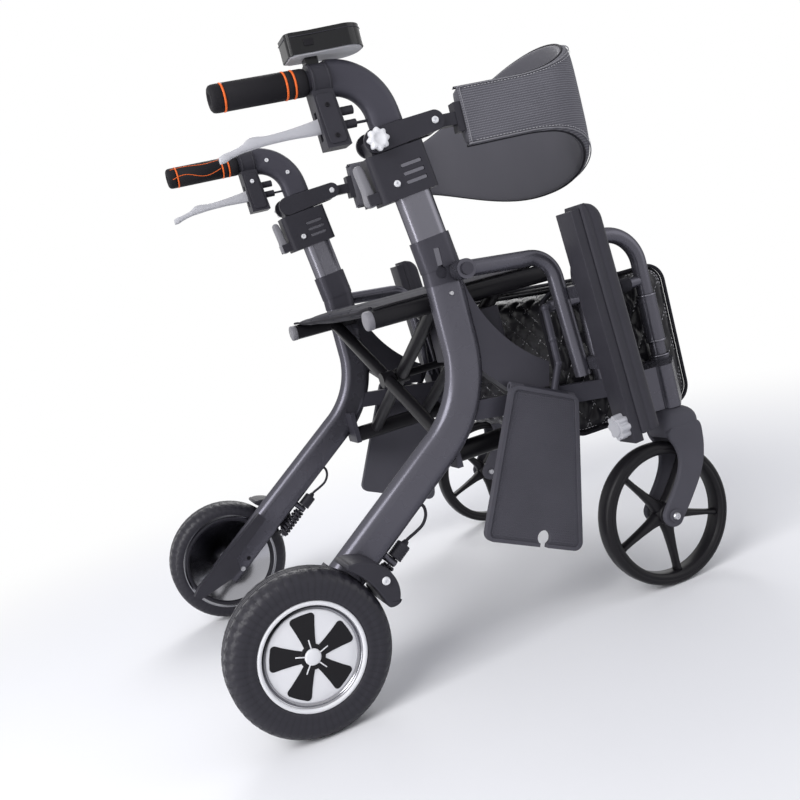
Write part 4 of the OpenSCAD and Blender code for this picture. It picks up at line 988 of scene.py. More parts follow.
@dataclass
class Seat:
    """The seat sling: padded between two rails, with sewn channels."""

    rear: float = 213.0
    front: float = 480.0
    half: float = 220.0
    channels: Tuple[float, ...] = (-105.0, 0.0, 105.0)
    rows: int = 88
    voxel: float = 4.5
    frames: int = 20
    slot: str = "woven_cloth"
    inner = RAIL_Y - RAIL_R
    most_move = 0.005
    cloth = {
        "quality": 5, "mass": 0.25, "tension_stiffness": 25.0, "compression_stiffness": 25.0,
        "bending_stiffness": 1.2, "use_pressure": True, "uniform_pressure_force": 4.0,
    }

    def top(self, y: float) -> float:
        """The sling's middle height: over the rails, lower between them."""
        into = smooth((self.inner - 2 - abs(y)) / 55.0)
        return RAIL_Z + RAIL_R + 3.0 - into * 3.5

    def start(self) -> MeshData:
        """The sling before it is filled: a thin pillow over the rails."""
        middle, reach = (self.front + self.rear) / 2, (self.front - self.rear) / 2
        rings: Rings = []
        for i in range(self.rows + 1):
            y = -self.half + 2 * self.half * i / self.rows
            edge = sqrt(max(1.0 - (abs(y) / self.half) ** 14, 0.0))
            into = smooth((self.inner - 2 - abs(y)) / 45.0)
            thick = (1.8 + 3.6 * into) * max(edge, 0.25)
            rings.append([
                at(middle + reach * bent(c, 0.16), y, self.top(y) + thick * bent(s, 0.7))
                for c, s in directions(64)
            ])
        return lofted(rings)

    def swell(self, obj: Piece) -> None:
        """Fills the remeshed sling with air pressure and keeps every point near its start."""
        rest = np.array([v.co for v in obj.data.vertices])
        pinned = obj.vertex_groups.new(name="rails")
        cloth = obj.modifiers.new("cloth", "CLOTH")
        for key, value in self.cloth.items():
            setattr(cloth.settings, key, value)
        cloth.settings.effector_weights.gravity = 0.0
        pinned.add([i for i, p in enumerate(rest) if abs(p[1]) * 1000 > self.inner], 1.0, "REPLACE")
        cloth.settings.vertex_group_mass = "rails"
        cloth.point_cache.frame_start, cloth.point_cache.frame_end = 1, self.frames
        for number in range(1, self.frames + 1):
            bpy.context.scene.frame_set(number)
        applied(obj)
        move = np.array([v.co for v in obj.data.vertices]) - rest
        long = np.linalg.norm(move, axis=1)
        move *= np.minimum(1.0, self.most_move / np.maximum(long, 1e-9))[:, None]
        obj.data.vertices.foreach_set("co", (rest + move).ravel())
        bpy.context.scene.frame_set(1)

    def sew(self, obj: Piece) -> None:
        """Draws the sewn channels and the rim down into the filling."""
        middle, length = (self.front + self.rear) / 2, self.front - self.rear
        for v in obj.data.vertices:
            x, y = v.co.x * 1000 + MID_X, v.co.y * 1000
            depth = sum(exp(-((y - c) / 5.0) ** 2) for c in self.channels)
            for edge in (self.rear + 16, self.front - 16):
                depth += 0.7 * exp(-((x - edge) / 4.5) ** 2)
            sign = 1.0 if v.co.z * 1000 > self.top(y) else -1.0
            if abs(y) < self.inner:
                v.co.z -= sign * 0.0022 * min(depth, 1.0)
            v.co.y -= copysign(0.0016 * sin(pi * (x - self.rear) / length), y)
            v.co.x -= 0.002 * (x - middle) / middle * cos(pi * y / (2 * self.half))
            if abs(y) > self.inner - 3:
                v.co.z = max(v.co.z, (RAIL_Z + RAIL_R + 0.2) / 1000.0)

    def cushion(self) -> Piece:
        """The filled and sewn sling, with its finish."""
        obj = new_object("seat_cushion", self.start())
        remesh = obj.modifiers.new("remesh", "REMESH")
        remesh.mode, remesh.voxel_size = "VOXEL", metres(self.voxel)
        applied(obj)
        self.swell(obj)
        finer = obj.modifiers.new("finer", "SUBSURF")
        finer.levels = finer.render_levels = 1
        applied(obj)
        self.sew(obj)
        obj.data.shade_smooth()
        obj.data.materials.append(Look.SEAT.material())
        return obj

    def build(self) -> None:
        """Makes the sling, its piping and its stitches."""
        cushion = self.cushion()
        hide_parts("seat_sling")
        across = np.linspace(-self.half + 8, self.half - 8, 60)
        edges = [tube([at(x, y, self.top(y)) for y in across], 2.0, 8) for x in (self.rear + 1, self.front - 1)]
        piping = new_object("seat_piping", joined(edges))
        piping.data.materials.append(Look.HEM.material())
        rows = BeadRows("seat_stitches", Look.THREAD, pitch=6.0, length=4.0, width=0.8)
        along = np.linspace(self.rear + 18, self.front - 18, 40)
        rows.lines = [[at(x, c, self.top(c) + 3.6) for x in along] for c in self.channels]
        stitches = rows.build()
        for piece in (cushion, piping, stitches):
            at(350, -RAIL_Y + 20, RAIL_Z)
            at(350, RAIL_Y - 20, RAIL_Z)
            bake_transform(piece)
            log.info("%s: %d faces between the braces", piece.name, len(piece.data.polygons))


@dataclass
class StorageBag:
    """The quilted bag on the front frame."""

    rear: float = 452.0
    front: float = 664.0
    half: float = 218.0
    low: float = 224.0
    high: float = 434.0
    corner: float = 28.0
    bar_z: float = 416.0
    strap_gap: float = 8.8
    hole: Flat = (575.0, 376.0)
    hole_straight: float = 8.0
    hole_r: float = 14.0
    diamond: Flat = (30.0, 48.0)
    quilt_x: float = 9.0
    puff: float = 5.6
    mouth: float = 0.075
    girth_share: float = 0.93
    ring_points: int = 168
    rings: int = 30
    across: int = 96
    body: str = "frame_right"
    slot: str = "bag_cloth"

    def girth(self) -> float:
        """The wall's length round the side's outline, for its quilting."""
        return 2 * (self.front - self.rear + self.high - self.low) * self.girth_share

    def outline(self, inset: float) -> List[Flat]:
        """The side's rounded outline in x and z, evenly spaced, starting at the top middle."""
        r = max(self.corner - inset, 2.0)
        x0, x1, z0, z1 = self.rear + inset, self.front - inset, self.low + inset, self.high - inset
        corners = ((x1 - r, z1 - r, 90.0), (x1 - r, z0 + r, 0.0), (x0 + r, z0 + r, -90.0),
                   (x0 + r, z1 - r, 180.0))
        dense = [((x0 + x1) / 2, z1)]
        for cx, cz, start in corners:
            dense += arc(cx, cz, r, start, -90.0, 12)
        p = np.array(dense + dense[:1])
        s = np.concatenate([[0], np.cumsum(np.linalg.norm(np.diff(p, axis=0), axis=1))])
        even = np.linspace(0, s[-1], self.ring_points + 1)[:-1]
        return [(float(np.interp(e, s, p[:, 0])), float(np.interp(e, s, p[:, 1]))) for e in even]

    def inside(self, x: float, z: float, inset: float) -> bool:
        """Whether a point lies within the rounded side, drawn in by inset."""
        r = self.corner - inset
        cx = min(max(x, self.rear + inset + r), self.front - inset - r)
        cz = min(max(z, self.low + inset + r), self.high - inset - r)
        return hypot(x - cx, z - cz) <= r

    def quilt(self, a: float, b: float) -> float:
        """Pillow height of the quilting, from 0 on a seam to 1 in a diamond's middle."""
        w, h = self.diamond
        u, v = a / w + b / h, a / w - b / h
        du, dv = abs(u - round(u)), abs(v - round(v))
        return min(min(du, dv) * 2.6, 1.0) ** 0.55

    def hand_hole(self, x: float, z: float) -> float:
        """Distance outside the side's hand hole; negative inside it."""
        dx = max(abs(x - self.hole[0]) - self.hole_straight, 0.0)
        return hypot(dx, z - self.hole[1]) - self.hole_r

    def on_hole_rim(self, x: float, z: float) -> Flat:
        """The point of the hand hole's rim nearest to a point inside it."""
        cx, cz = self.hole
        bx = cx + copysign(min(abs(x - cx), self.hole_straight), x - cx)
        way = np.array([x - bx, z - cz])
        long = np.linalg.norm(way)
        return tuple(np.array([bx, cz]) + way / long * self.hole_r) if long > 1e-6 else (x, z)

    def side_panel(self, sign: int) -> MeshData:
        """One quilted side with its hand hole."""
        edge = np.array(self.outline(3.0))
        centre = np.array([(self.rear + self.front) / 2, (self.low + self.high) / 2])
        verts, cut = [], []
        for i in range(self.rings + 1):
            for x, z in centre + (edge - centre) * (1.0 - i / self.rings):
                d = self.hand_hole(x, z)
                if -12.0 < d < 0.0:
                    x, z = self.on_hole_rim(x, z)
                cut.append(d < -3.0)
                rim = smooth(i / self.rings / 0.12) * smooth(self.hand_hole(x, z) / 8.0)
                pillow = self.puff * self.quilt(x - self.quilt_x, z) * rim
                verts.append(at(x, sign * (self.half - self.puff + pillow + 0.5 * (1 - rim)), z))
        faces = grid_faces(self.rings + 1, self.ring_points, closed=True)
        return verts, [f for f in faces if not any(cut[v] for v in f)]

    def wrap_panel(self) -> MeshData:
        """The quilted wall round back, bottom and front, open at the top."""
        edge, inner, side = (np.array(self.outline(inset)) for inset in (0.0, self.puff, 3.0))
        n, reach = self.ring_points, self.half - self.puff + 0.5
        verts = []
        for j in range(self.across + 1):
            y = -self.half + self.puff - 0.5 + 2 * reach * j / self.across
            near = (reach - abs(y)) / 10.0
            rim = smooth(near)
            for i in range(n):
                q = self.quilt(i * self.girth() / n, y) * smooth((min(i, n - i) / n - self.mouth) / 0.05)
                p = inner[i] + (edge[i] - inner[i]) * (0.25 + 0.75 * q)
                if near < 1.0:
                    p = side[i] * (1 - rim) + p * rim
                verts.append(at(p[0], y, p[1]))
        gap = int(n * self.mouth)
        faces = []
        for face in grid_faces(self.across + 1, n, closed=True):
            j, i = divmod(face[0], n)
            if gap <= i < n - gap or not 5 < j < self.across - 6:
                faces.append(face)
        return verts, faces

    def side_seam(self, sign: int, way: int, m: int) -> Iterable[Optional[Spot]]:
        """One quilting seam on a side, just above its valley, with gaps where there is no cloth."""
        w, h = self.diamond
        for step in range(120):
            z = self.low + 10 + (self.high - self.low - 20) * step / 119
            x = self.quilt_x + w * (m - way * z / h)
            fits = self.inside(x, z, 12.0) and self.hand_hole(x, z) > 6.0
            yield at(x, sign * (self.half - self.puff + 0.9), z) if fits else None

    def wall_seam(self, line: np.ndarray, way: int, m: int) -> Iterable[Optional[Spot]]:
        """One quilting seam on the wall, between its rounded edges and clear of the mouth."""
        (w, h), n = self.diamond, self.ring_points
        for step in range(n * 2):
            i = step / 2.0
            y = way * h * (m - i * self.girth() / n / w)
            first, part = int(i) % n, i - int(i)
            p = line[first] * (1 - part) + line[(first + 1) % n] * part
            fits = abs(y) < self.half - 12 and n * 0.085 < i < n * 0.915
            yield at(p[0], y, p[1]) if fits else None

    def seams(self) -> List[List[Spot]]:
        """All rows of stitches: both sides, the wall, and two rows along each side's edge."""
        made = []
        for sign in (-1, 1):
            for way in (-1, 1):
                for m in range(-24, 25):
                    made += runs(self.side_seam(sign, way, m))
        wall = np.array(self.outline(self.puff * 0.75 - 0.8))
        for way in (-1, 1):
            for m in range(-40, 60):
                made += runs(self.wall_seam(wall, way, m))
        for sign in (-1, 1):
            for inset in (7.5, 10.5):
                path = [at(x, sign * (self.half - self.puff + 1.0), z) for x, z in self.outline(inset)]
                made.append(path + path[:1])
        return made

    def hems(self) -> List[MeshData]:
        """Hems round the two hand holes and the mouth."""
        made = []
        for sign in (-1, 1):
            y = sign * (self.half - self.puff + 0.6)
            hole = [at(self.hole[0] + copysign(self.hole_straight, c) + self.hole_r * c, y,
                       self.hole[1] + self.hole_r * s) for c, s in directions(40)]
            made.append(tube(hole, 1.8, 8, closed=True))
        middle, reach = (self.rear + self.front) / 2, (self.front - self.rear) / 2 - 47
        rim = [at(middle + reach * bent(c, 0.3), (self.half - 28) * bent(s, 0.3), self.high - 1.5)
               for c, s in directions(80)]
        return made + [tube(rim, 3.0, 8, closed=True)]

    def build(self) -> None:
        """Makes shell, piping, hems and stitches, and the straps."""
        shell = new_object("bag_shell", joined([self.side_panel(-1), self.side_panel(1), self.wrap_panel()]))
        thickened(shell, 5.0, -1.0)
        settle(shell, Look.QUILT, self.body, self.slot, ["storage_bag"])
        cords = []
        for sign in (-1, 1):
            path = [at(x, sign * (self.half - 2.6), z) for x, z in self.outline(1.2)]
            cords.append(tube(path, 2.6, 10, closed=True))
        rows = BeadRows("bag_stitches", Look.THREAD, pitch=5.6, length=4.2, width=1.3, lines=self.seams())
        pieces = [
            shell,
            settle(new_object("bag_piping", joined(cords)), Look.HEM, self.body, self.slot),
            settle(new_object("bag_hems", joined(self.hems())), Look.HEM, self.body, self.slot),
            settle(rows.build(), Look.THREAD, self.body, self.slot),
        ]
        for piece in pieces:
            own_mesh(piece)
        for side in Side:
            self.straps(side)

    def straps(self, side: Side) -> None:
        """Webbing loops from the bag round the bag bar of a frame; the left ones end short of the bag."""
        ring = [(0, 8.6), (0.8, 9.9), (17.2, 9.9), (18, 8.6), (17.2, 8.45), (0.8, 8.45)]
        start = self.half - 3 if side is Side.RIGHT else self.half + 0.3
        ends = sorted(side.value * y for y in (start, LOOP_Y - self.strap_gap))
        made = []
        for x in (LOOP_X - 76, LOOP_X - 42):
            made.append(turned(ring, (x, side.value * LOOP_Y, self.bar_z), (1, 0, 0), 40, loop=True))
            corners = ((x + 1, -1), (x + 17, -1), (x + 17, 1), (x + 1, 1))
            rings = [[at(cx, y, self.bar_z + up) for cx, up in corners] for y in np.linspace(*ends, 6)]
            made.append(lofted(rings))
        settle(new_object(side.name_of("bag_straps"), joined(made)), Look.HEM, side.name_of("frame"), self.slot)


@dataclass
class SidePart:
    """A sub-assembly that each side of the chair has."""

    side: Side

    @property
    def sign(self) -> int:
        """The sign of the side's y."""
        return self.side.value

    def on_side(self, x: float, z: float, y: float) -> Spot:
        """A point y out from the chair's middle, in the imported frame."""
        return at(x, self.sign * y, z)

    def outward(self, profile: Sequence[Flat], middle: Spot, sides: int, loop: bool = False,
                shift: Optional[Shift] = None) -> MeshData:
        """A shape turned about an outward axis through a middle, which is given for the left side."""
        x, y, z = middle
        return turned(profile, (x, self.sign * y, z), (0, self.sign, 0), sides, loop, shift)

    def add(self, name: str, parts: Sequence[MeshData], look: Look, body: str, slot: str,
            node: str = "") -> Piece:
        """Adds a piece of this side.

        Args:
            name: its name without the side.
            parts: the meshes that it is joined from.
            look: its finish.
            body: the CAD body that it moves with, without the side.
            slot: the record's material slot.
            node: the CAD node that it replaces, without the side.

        Returns:
            The piece.
        """
        obj = new_object(self.side.name_of(name), joined(parts))
        return settle(obj, look, self.side.name_of(body), slot, [self.side.name_of(node)] if node else [])


@dataclass
class DriveWheel(SidePart):
    """A hub-motor wheel: tyre, silver flange, dished rim, white disc and black blades."""

    middle: Spot = (0.0, 290.0, DRIVE_R)
    width: float = 54.0
    hub: float = 72.0
    shoulder: float = 17.0
    sipe: float = 1.7
    steps: int = 128
    blades: int = 5
    first: float = 18.5

    def tyre_profile(self) -> List[Flat]:
        """The tyre's section, from the inner bead over the tread to the outer bead."""
        half, base, hub = self.width / 2, DRIVE_R - self.shoulder, self.hub
        flat = half - self.shoulder
        grooves = [(-6.2, 0.0), (-5.6, -1.3), (-4.6, -1.3), (-4.0, 0.0), (-1.0, 0.0), (-0.5, -1.0)]
        made = [(-half + 5.0, hub - 1.5), (-half + 1.0, hub), (-half, hub + 4), (-half + 0.9, hub + 7),
                (-half, hub + 9.5)]
        made += arc(-flat, base, self.shoulder, 180.0, -90.0, 12)
        made += [(y, DRIVE_R + r) for y, r in grooves]
        made += [(-y, DRIVE_R + r) for y, r in reversed(grooves)]
        made += arc(flat, base, self.shoulder, 90.0, -90.0, 12)
        return made + [(half, hub + 9.5), (half - 0.9, hub + 7), (half, hub + 4), (half - 0.4, hub),
                       (half - 0.9, hub - 3), (half - 2.2, hub - 4.6), (half - 8.0, hub - 5)]

    def tyre(self) -> None:
        """The tyre, with sipes cut across its shoulders."""
        profile = self.tyre_profile()
        sipes = [i for i, (y, r) in enumerate(profile) if r > DRIVE_R - 9 and abs(y) > 9.5]

        def cut(i: int, j: int) -> float:
            """Depth of the sipes at a profile point and step."""
            return -self.sipe if i in sipes and (j + (i % 3)) % 6 == 0 else 0.0

        tyre = self.outward(profile, self.middle, 288, True, cut)
        self.add("tyre", [tyre], Look.TYRE, "drive_wheel", "tyre", "drive_tyre")

    def blade(self) -> List[Flat]:
        """One blade's outline with rounded outer corners, along its radius."""
        flank = [(10.8, 7.0), (22.0, 9.0), (36.0, 12.4), (42.0, 14.2)]
        made = [(r, -across) for r, across in flank] + arc(46.8, -10.6, 4.8, -104.0, 96.0, 6)
        made += [(52.0, -4.0), (52.2, 0.0), (52.0, 4.0)]
        return made + arc(46.8, 10.6, 4.8, 8.0, 96.0, 6) + flank[::-1]

    def on_disc(self, turn: float) -> Lay:
        """Lays a slab along a radius, across it and up from the domed disc."""
        def lay(r: float, across: float, h: float) -> Spot:
            """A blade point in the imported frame."""
            x, z = swung(r, across, turn)
            dome = 22.5 - 1.2 * (r / 52.0) ** 2
            return at(-self.sign * x, self.sign * (self.middle[1] + dome + h), DRIVE_R + z)

        return lay

    def hub_pieces(self) -> None:
        """Flange, dish, disc, the polished inner cover, blades and their lines."""
        pieces = (
            ("rim_flange", Look.WHITE, True, "", [
                (18.0, 67.2), (24.4, 67.2), (25.8, 66.4), (26.2, 64.6), (25.8, 62.6), (24.6, 61.8),
                (18.0, 61.4)]),
            ("rim_dish", Look.CHROME, True, "", [
                (24.8, 62.2), (20.4, 60.4), (18.2, 58.6), (17.8, 57.2), (18.6, 55.6), (14.0, 53.0),
                (-4.0, 53.0), (-4.0, 62.0)]),
            ("hub_disc", Look.WHITE, False, "drive_hub", [
                (-4.0, AXIS), (-4.0, 53.6), (19.0, 56.2), (20.4, 56.0), (21.2, 54.4), (22.0, 42.0),
                (22.4, 20.0), (22.5, 10.4), (24.6, 9.6), (25.2, 7.6), (25.4, AXIS)]),
            ("inner_cover", Look.CHROME, False, "", [
                (-26.6, AXIS), (-26.6, 13.6), (-25.8, 14.6), (-12.4, 16.4), (-10.8, 19.0), (-11.4, 34.0),
                (-15.6, 52.0), (-21.6, 67.5), (-26.0, 76.5), (-27.5, 80.4), (-27.3, 82.0), (-26.0, 82.0),
                (-18.5, 68.0), (-8.5, 36.0), (-6.5, AXIS)]),
        )
        for name, look, loop, node, profile in pieces:
            data = self.outward(profile, self.middle, self.steps, loop)
            self.add(name, [data], look, "drive_wheel", "pale_plastic", node)
        mark = [(8.5, -1.3), (21.5, -1.1), (21.5, 0.3), (8.5, 0.5)]
        ring = [(21.6, 10.2), (23.2, 10.4), (23.8, 11.2), (23.7, 14.4), (23.0, 15.6), (21.6, 15.8)]
        places = [self.on_disc(radians(360.0 / self.blades * i + self.first)) for i in range(self.blades)]
        blades = [slab(self.blade(), -1.2, 0.7, 0.35, lay) for lay in places]
        blades.append(self.outward(ring, self.middle, 96, True))
        self.add("hub_blades", blades, Look.CASTER, "drive_wheel", "black_plastic")
        lines = [slab(mark, -0.8, 1.5, 0.3, lay) for lay in places]
        self.add("hub_lines", lines, Look.WHITE, "drive_wheel", "pale_plastic")

    def build(self) -> None:
        """Makes tyre and hub."""
        self.tyre()
        self.hub_pieces()


@dataclass
class Grip(SidePart):
    """A rubber hand grip with orange rings and outlines."""

    x: float = 75.0
    length: float = 122.0
    radius: float = 17.0
    bore: float = 13.02
    rings: Tuple[float, ...] = (16.0, 94.0, 105.0)

    def outline(self, lift: float, sway: float) -> MeshData:
        """A fine line that wanders along the grip's flank, about a turn of lift radians."""
        r, path = self.radius - 0.15, []
        for k in range(36):
            a = radians(-90.0 * self.sign) + self.sign * (lift + sway * sin(2.2 * pi * k / 35))
            y, z = self.sign * LEG_Y + r * sin(a), GRIP_Z + r * cos(a)
            path.append(at(self.x + 7.0 + 84.0 * k / 35, y, z))
        return tube(path, 0.6, 6)

    def build(self) -> None:
        """Makes the grip, its rings and the two fine orange outlines along it."""
        r, n, bore = self.radius, self.length, self.bore
        origin = (self.x, self.sign * LEG_Y, GRIP_Z)
        profile = [(2.4, AXIS), (2.4, 6.0), (0.6, 7.0), (0.0, 9.0), (0.6, 13.6), (2.4, 15.8), (5.0, r - 0.4),
                   (10.0, r - 0.1)]
        bands = []
        for at_x in self.rings:
            groove = ((-2.4, -0.1), (-1.8, -0.9), (1.8, -0.9), (2.4, -0.1))
            profile += [(at_x + along, r + out) for along, out in groove]
            crown = ((-1.5, -1.2), (-1.1, 0.25), (0.0, 0.5), (1.1, 0.25), (1.5, -1.2))
            band = [(at_x + along, r + out) for along, out in crown]
            bands.append(turned(band, origin, (1, 0, 0), 72, loop=True))
        profile += [(n - 6, r), (n - 2, r - 0.5), (n, r - 2.0), (n, 13.2), (n - 3, bore), (6.0, bore),
                    (6.0, AXIS)]
        rubber = turned(profile, origin, (1, 0, 0), 72)
        self.add("grip_rubber", [rubber], Look.RUBBER, "handle", "grip_rubber", "grip")
        bands += [self.outline(0.8, 0.12), self.outline(-0.3, 0.26)]
        self.add("grip_rings", bands, Look.ORANGE, "handle", "grip_rubber")


@dataclass
class HandLevers(SidePart):
    """The pale brake lever with its knuckle and rounded tip, and the grey lever of the height clamp."""

    brake: Route = (
        (215.0, 712.0, 5.0, 3.9), (208.0, 712.0, 9.2, 4.0), (198.0, 710.4, 9.4, 4.2), (184.0, 709.4, 8.2, 4.6),
        (160.0, 708.2, 6.2, 5.0), (132.0, 706.8, 5.6, 5.2), (118.0, 706.8, 6.8, 5.4), (108.0, 706.0, 7.0, 5.4),
        (98.0, 702.4, 4.6, 4.8), (84.0, 698.6, 4.2, 4.6), (74.0, 695.8, 5.2, 4.8), (67.5, 694.2, 4.2, 3.6),
    )
    cam: Route = (
        (-57.0, 102.6, 1.5, 3.5), (-57.0, 103.4, 4.6, 6.6), (-57.0, 106.0, 7.2, 7.7), (-57.0, 111.0, 8.5, 8.0),
        (-57.0, 117.0, 7.6, 8.0), (-57.4, 126.0, 6.4, 8.0), (-57.8, 138.0, 6.2, 8.0), (-58.4, 149.0, 5.8, 7.8),
        (-58.8, 154.6, 4.6, 7.0), (-59.0, 157.2, 1.8, 4.0),
    )

    def on_brake(self, x: float, z: float, across: float, deep: float) -> Spot:
        """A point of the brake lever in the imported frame."""
        return at(x, self.sign * LEG_Y + across, z + deep)

    def on_cam(self, v: float, u: float, across: float, deep: float) -> Spot:
        """A point of the cam lever, given along the post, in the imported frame."""
        x, z = on_post(v + deep, u)
        return at(x, self.sign * LEG_Y + across, z)

    def build(self) -> None:
        """Makes both levers as smooth rounded bars."""
        lever = bar(self.brake, 20, (0.7, 0.7), self.on_brake)
        self.add("hand_lever", [lever], Look.PALE, "hand_lever", "pale_plastic", "brake_lever")
        lever = bar(self.cam, 24, (0.5, 0.6), self.on_cam)
        self.add("cam_grip", [lever], Look.GREY, "cam", "pale_plastic", "cam_lever")


@dataclass
class BrakeLine(SidePart):
    """The brake cable under a leg: sleeve, rubber boot, pull rod and return spring."""

    tab_s: float = 148.0
    tab_n: float = 39.0
    depth: float = 26.0
    curls: int = 7
    curl_steps: int = 26
    spring_r: float = 7.2
    wire: float = 2.5

    def point(self, s: float, n: float, across: float = 0.0) -> Spot:
        """A point by the leg, as chair millimetres."""
        x, z = on_leg(s, n)
        return (x, self.sign * LEG_Y + across, z)

    def spun(self, profile: Sequence[Flat], s: float, sides: int = 32) -> MeshData:
        """A shape turned about the cable's line, from s upwards along the leg."""
        axis = Vector(self.point(1, 0)) - Vector(self.point(0, 0))
        return turned(profile, self.point(s, self.tab_n), axis, sides)

    def spring(self) -> MeshData:
        """The return spring, as one tube."""
        steps, coil = self.curls * self.curl_steps, []
        for i in range(steps + 1):
            a = 2 * pi * i / self.curl_steps
            out, across = self.spring_r * cos(a), self.spring_r * sin(a)
            coil.append(at(*self.point(self.tab_s - 8 - 44.0 * i / steps, self.tab_n + out, across)))
        return tube(coil, self.wire, 10)

    def build(self) -> None:
        """Makes the black pieces and the steel pieces."""
        d, n = self.depth, self.tab_n
        way = ((230, d - 1), (229, d + 6), (222, d + 14), (210, d + 18), (196, d + 16), (184, n), (176, n))
        cable = tube(curve_through([at(*self.point(*p)) for p in way], 8), 2.2, 10)
        boot = [(0, AXIS), (0, 9.6), (0.8, 10.2), (2.0, 10.2), (2.4, 9.4)]
        for k in range(6):
            boot += [(3.2 + 3.0 * k, 9.9), (4.8 + 3.0 * k, 9.9), (5.2 + 3.0 * k, 9.3)]
        boot += [(21.2, 9.6), (22.0, 8.4), (22.4, 5.0), (27.5, 3.4), (28, AXIS)]
        foot = [(0, AXIS), (0, 7.6), (1.2, 8.2), (2.4, 7.6), (2.6, AXIS)]
        seat = [(0, AXIS), (0, 7.2), (1.0, 8.0), (4.0, 8.0), (5.0, 7.0), (5.0, AXIS)]
        black = [cable, self.spun(boot, self.tab_s + 5.6), self.spun(foot, self.tab_s - 8.2),
                 self.spun(seat, self.tab_s - 57)]
        self.add("brake_sleeve", black, Look.NYLON, "frame", "cable_black", "brake_cable")
        self.add("return_spring", [self.spring()], Look.NYLON, "frame", "cable_black")
        rod = tube([at(*self.point(s, n)) for s in (self.tab_s + 7, self.tab_s - 30, 90)], 2.4, 12)
        nut = self.spun([(0, AXIS), (0, 4.6), (4.5, 4.6), (4.5, AXIS)], 88, 6)
        self.add("pull_rod", [rod, nut], Look.STEEL, "frame", "cable_black")


@dataclass
class ArmrestPad(SidePart):
    """A moulded foam pad on the armrest's rail."""

    pivot: Flat = (328.0, 496.0)
    tilt: float = radians(5.0)
    corner: float = radians(172.0)
    forward: float = 127.0
    x0: float = -51.0
    y0: float = 304.0
    z0: float = -52.0
    length: float = 308.0
    width: float = 41.0
    depth: float = 31.0

    def lay(self, x: float, y: float, z: float) -> Spot:
        """A point of the hanging rail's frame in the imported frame."""
        lx = self.forward + x * cos(self.corner) + z * sin(self.corner)
        lz = -x * sin(self.corner) + z * cos(self.corner)
        return at(self.pivot[0] + lx * cos(self.tilt) + lz * sin(self.tilt), self.sign * y,
                  self.pivot[1] - lx * sin(self.tilt) + lz * cos(self.tilt))

    def section(self, front: float, shrink: float) -> List[Flat]:
        """The pad's section: a crowned front, a groove along each flank, a flat back."""
        back, half = self.depth - 0.4, self.width / 2 - 0.3
        made = []
        for k in range(15):
            w = -1.0 + 2.0 * k / 14
            crown = 5.5 * abs(w) ** 6 + 1.4 * w * w
            made.append((front + crown + shrink, w * (half - shrink) * (1 - 0.02 * abs(w) ** 8)))
        flank = [(0.42, 0.0), (0.55, 0.0), (0.6, 1.1), (0.68, 1.1), (0.73, 0.0), (0.92, 0.0), (1.0, 1.2)]
        edge = [(front + (back - front) * share, half - dent - shrink) for share, dent in flank]
        return made + edge + [(x, -y) for x, y in reversed(edge)]

    def build(self) -> None:
        """Makes the pad with its rounded nose and heel, and the cover along its rail."""
        nose, n, rings = self.depth * 0.8, self.length, []
        stations = [0.6, 1.5, 3, 5, 8, 11, 15, 20, 25] + [25 + (n - 33) * k / 36 for k in range(1, 37)]
        for z in stations + [n - 5, n - 2.5, n - 0.6]:
            recede = nose - sqrt(max(nose ** 2 - max(nose - z, 0.0) ** 2, 0.0)) if z < nose else 0.0
            shrink = 2.4 * max(1 - z / 5.0, 0.0) ** 2 + 2.4 * max(1 - (n - z) / 5.0, 0.0) ** 2
            rings.append([self.lay(self.x0 + x, self.y0 + self.width / 2 + y, self.z0 + z)
                          for x, y in self.section(min(recede, self.depth - 6), shrink)])
        foam = self.add("armrest_foam", [lofted(rings)], Look.FOAM, "armrest", "pad_foam", "armrest_pad")
        cover = slab(rounded_box(-20.5, -6.7, 303.5, 341.5, 1.5, 4), -46.6, 264.6, 0.8, self.lay)
        self.add("rail_cover", [cover], Look.NYLON, "armrest", "black_plastic")


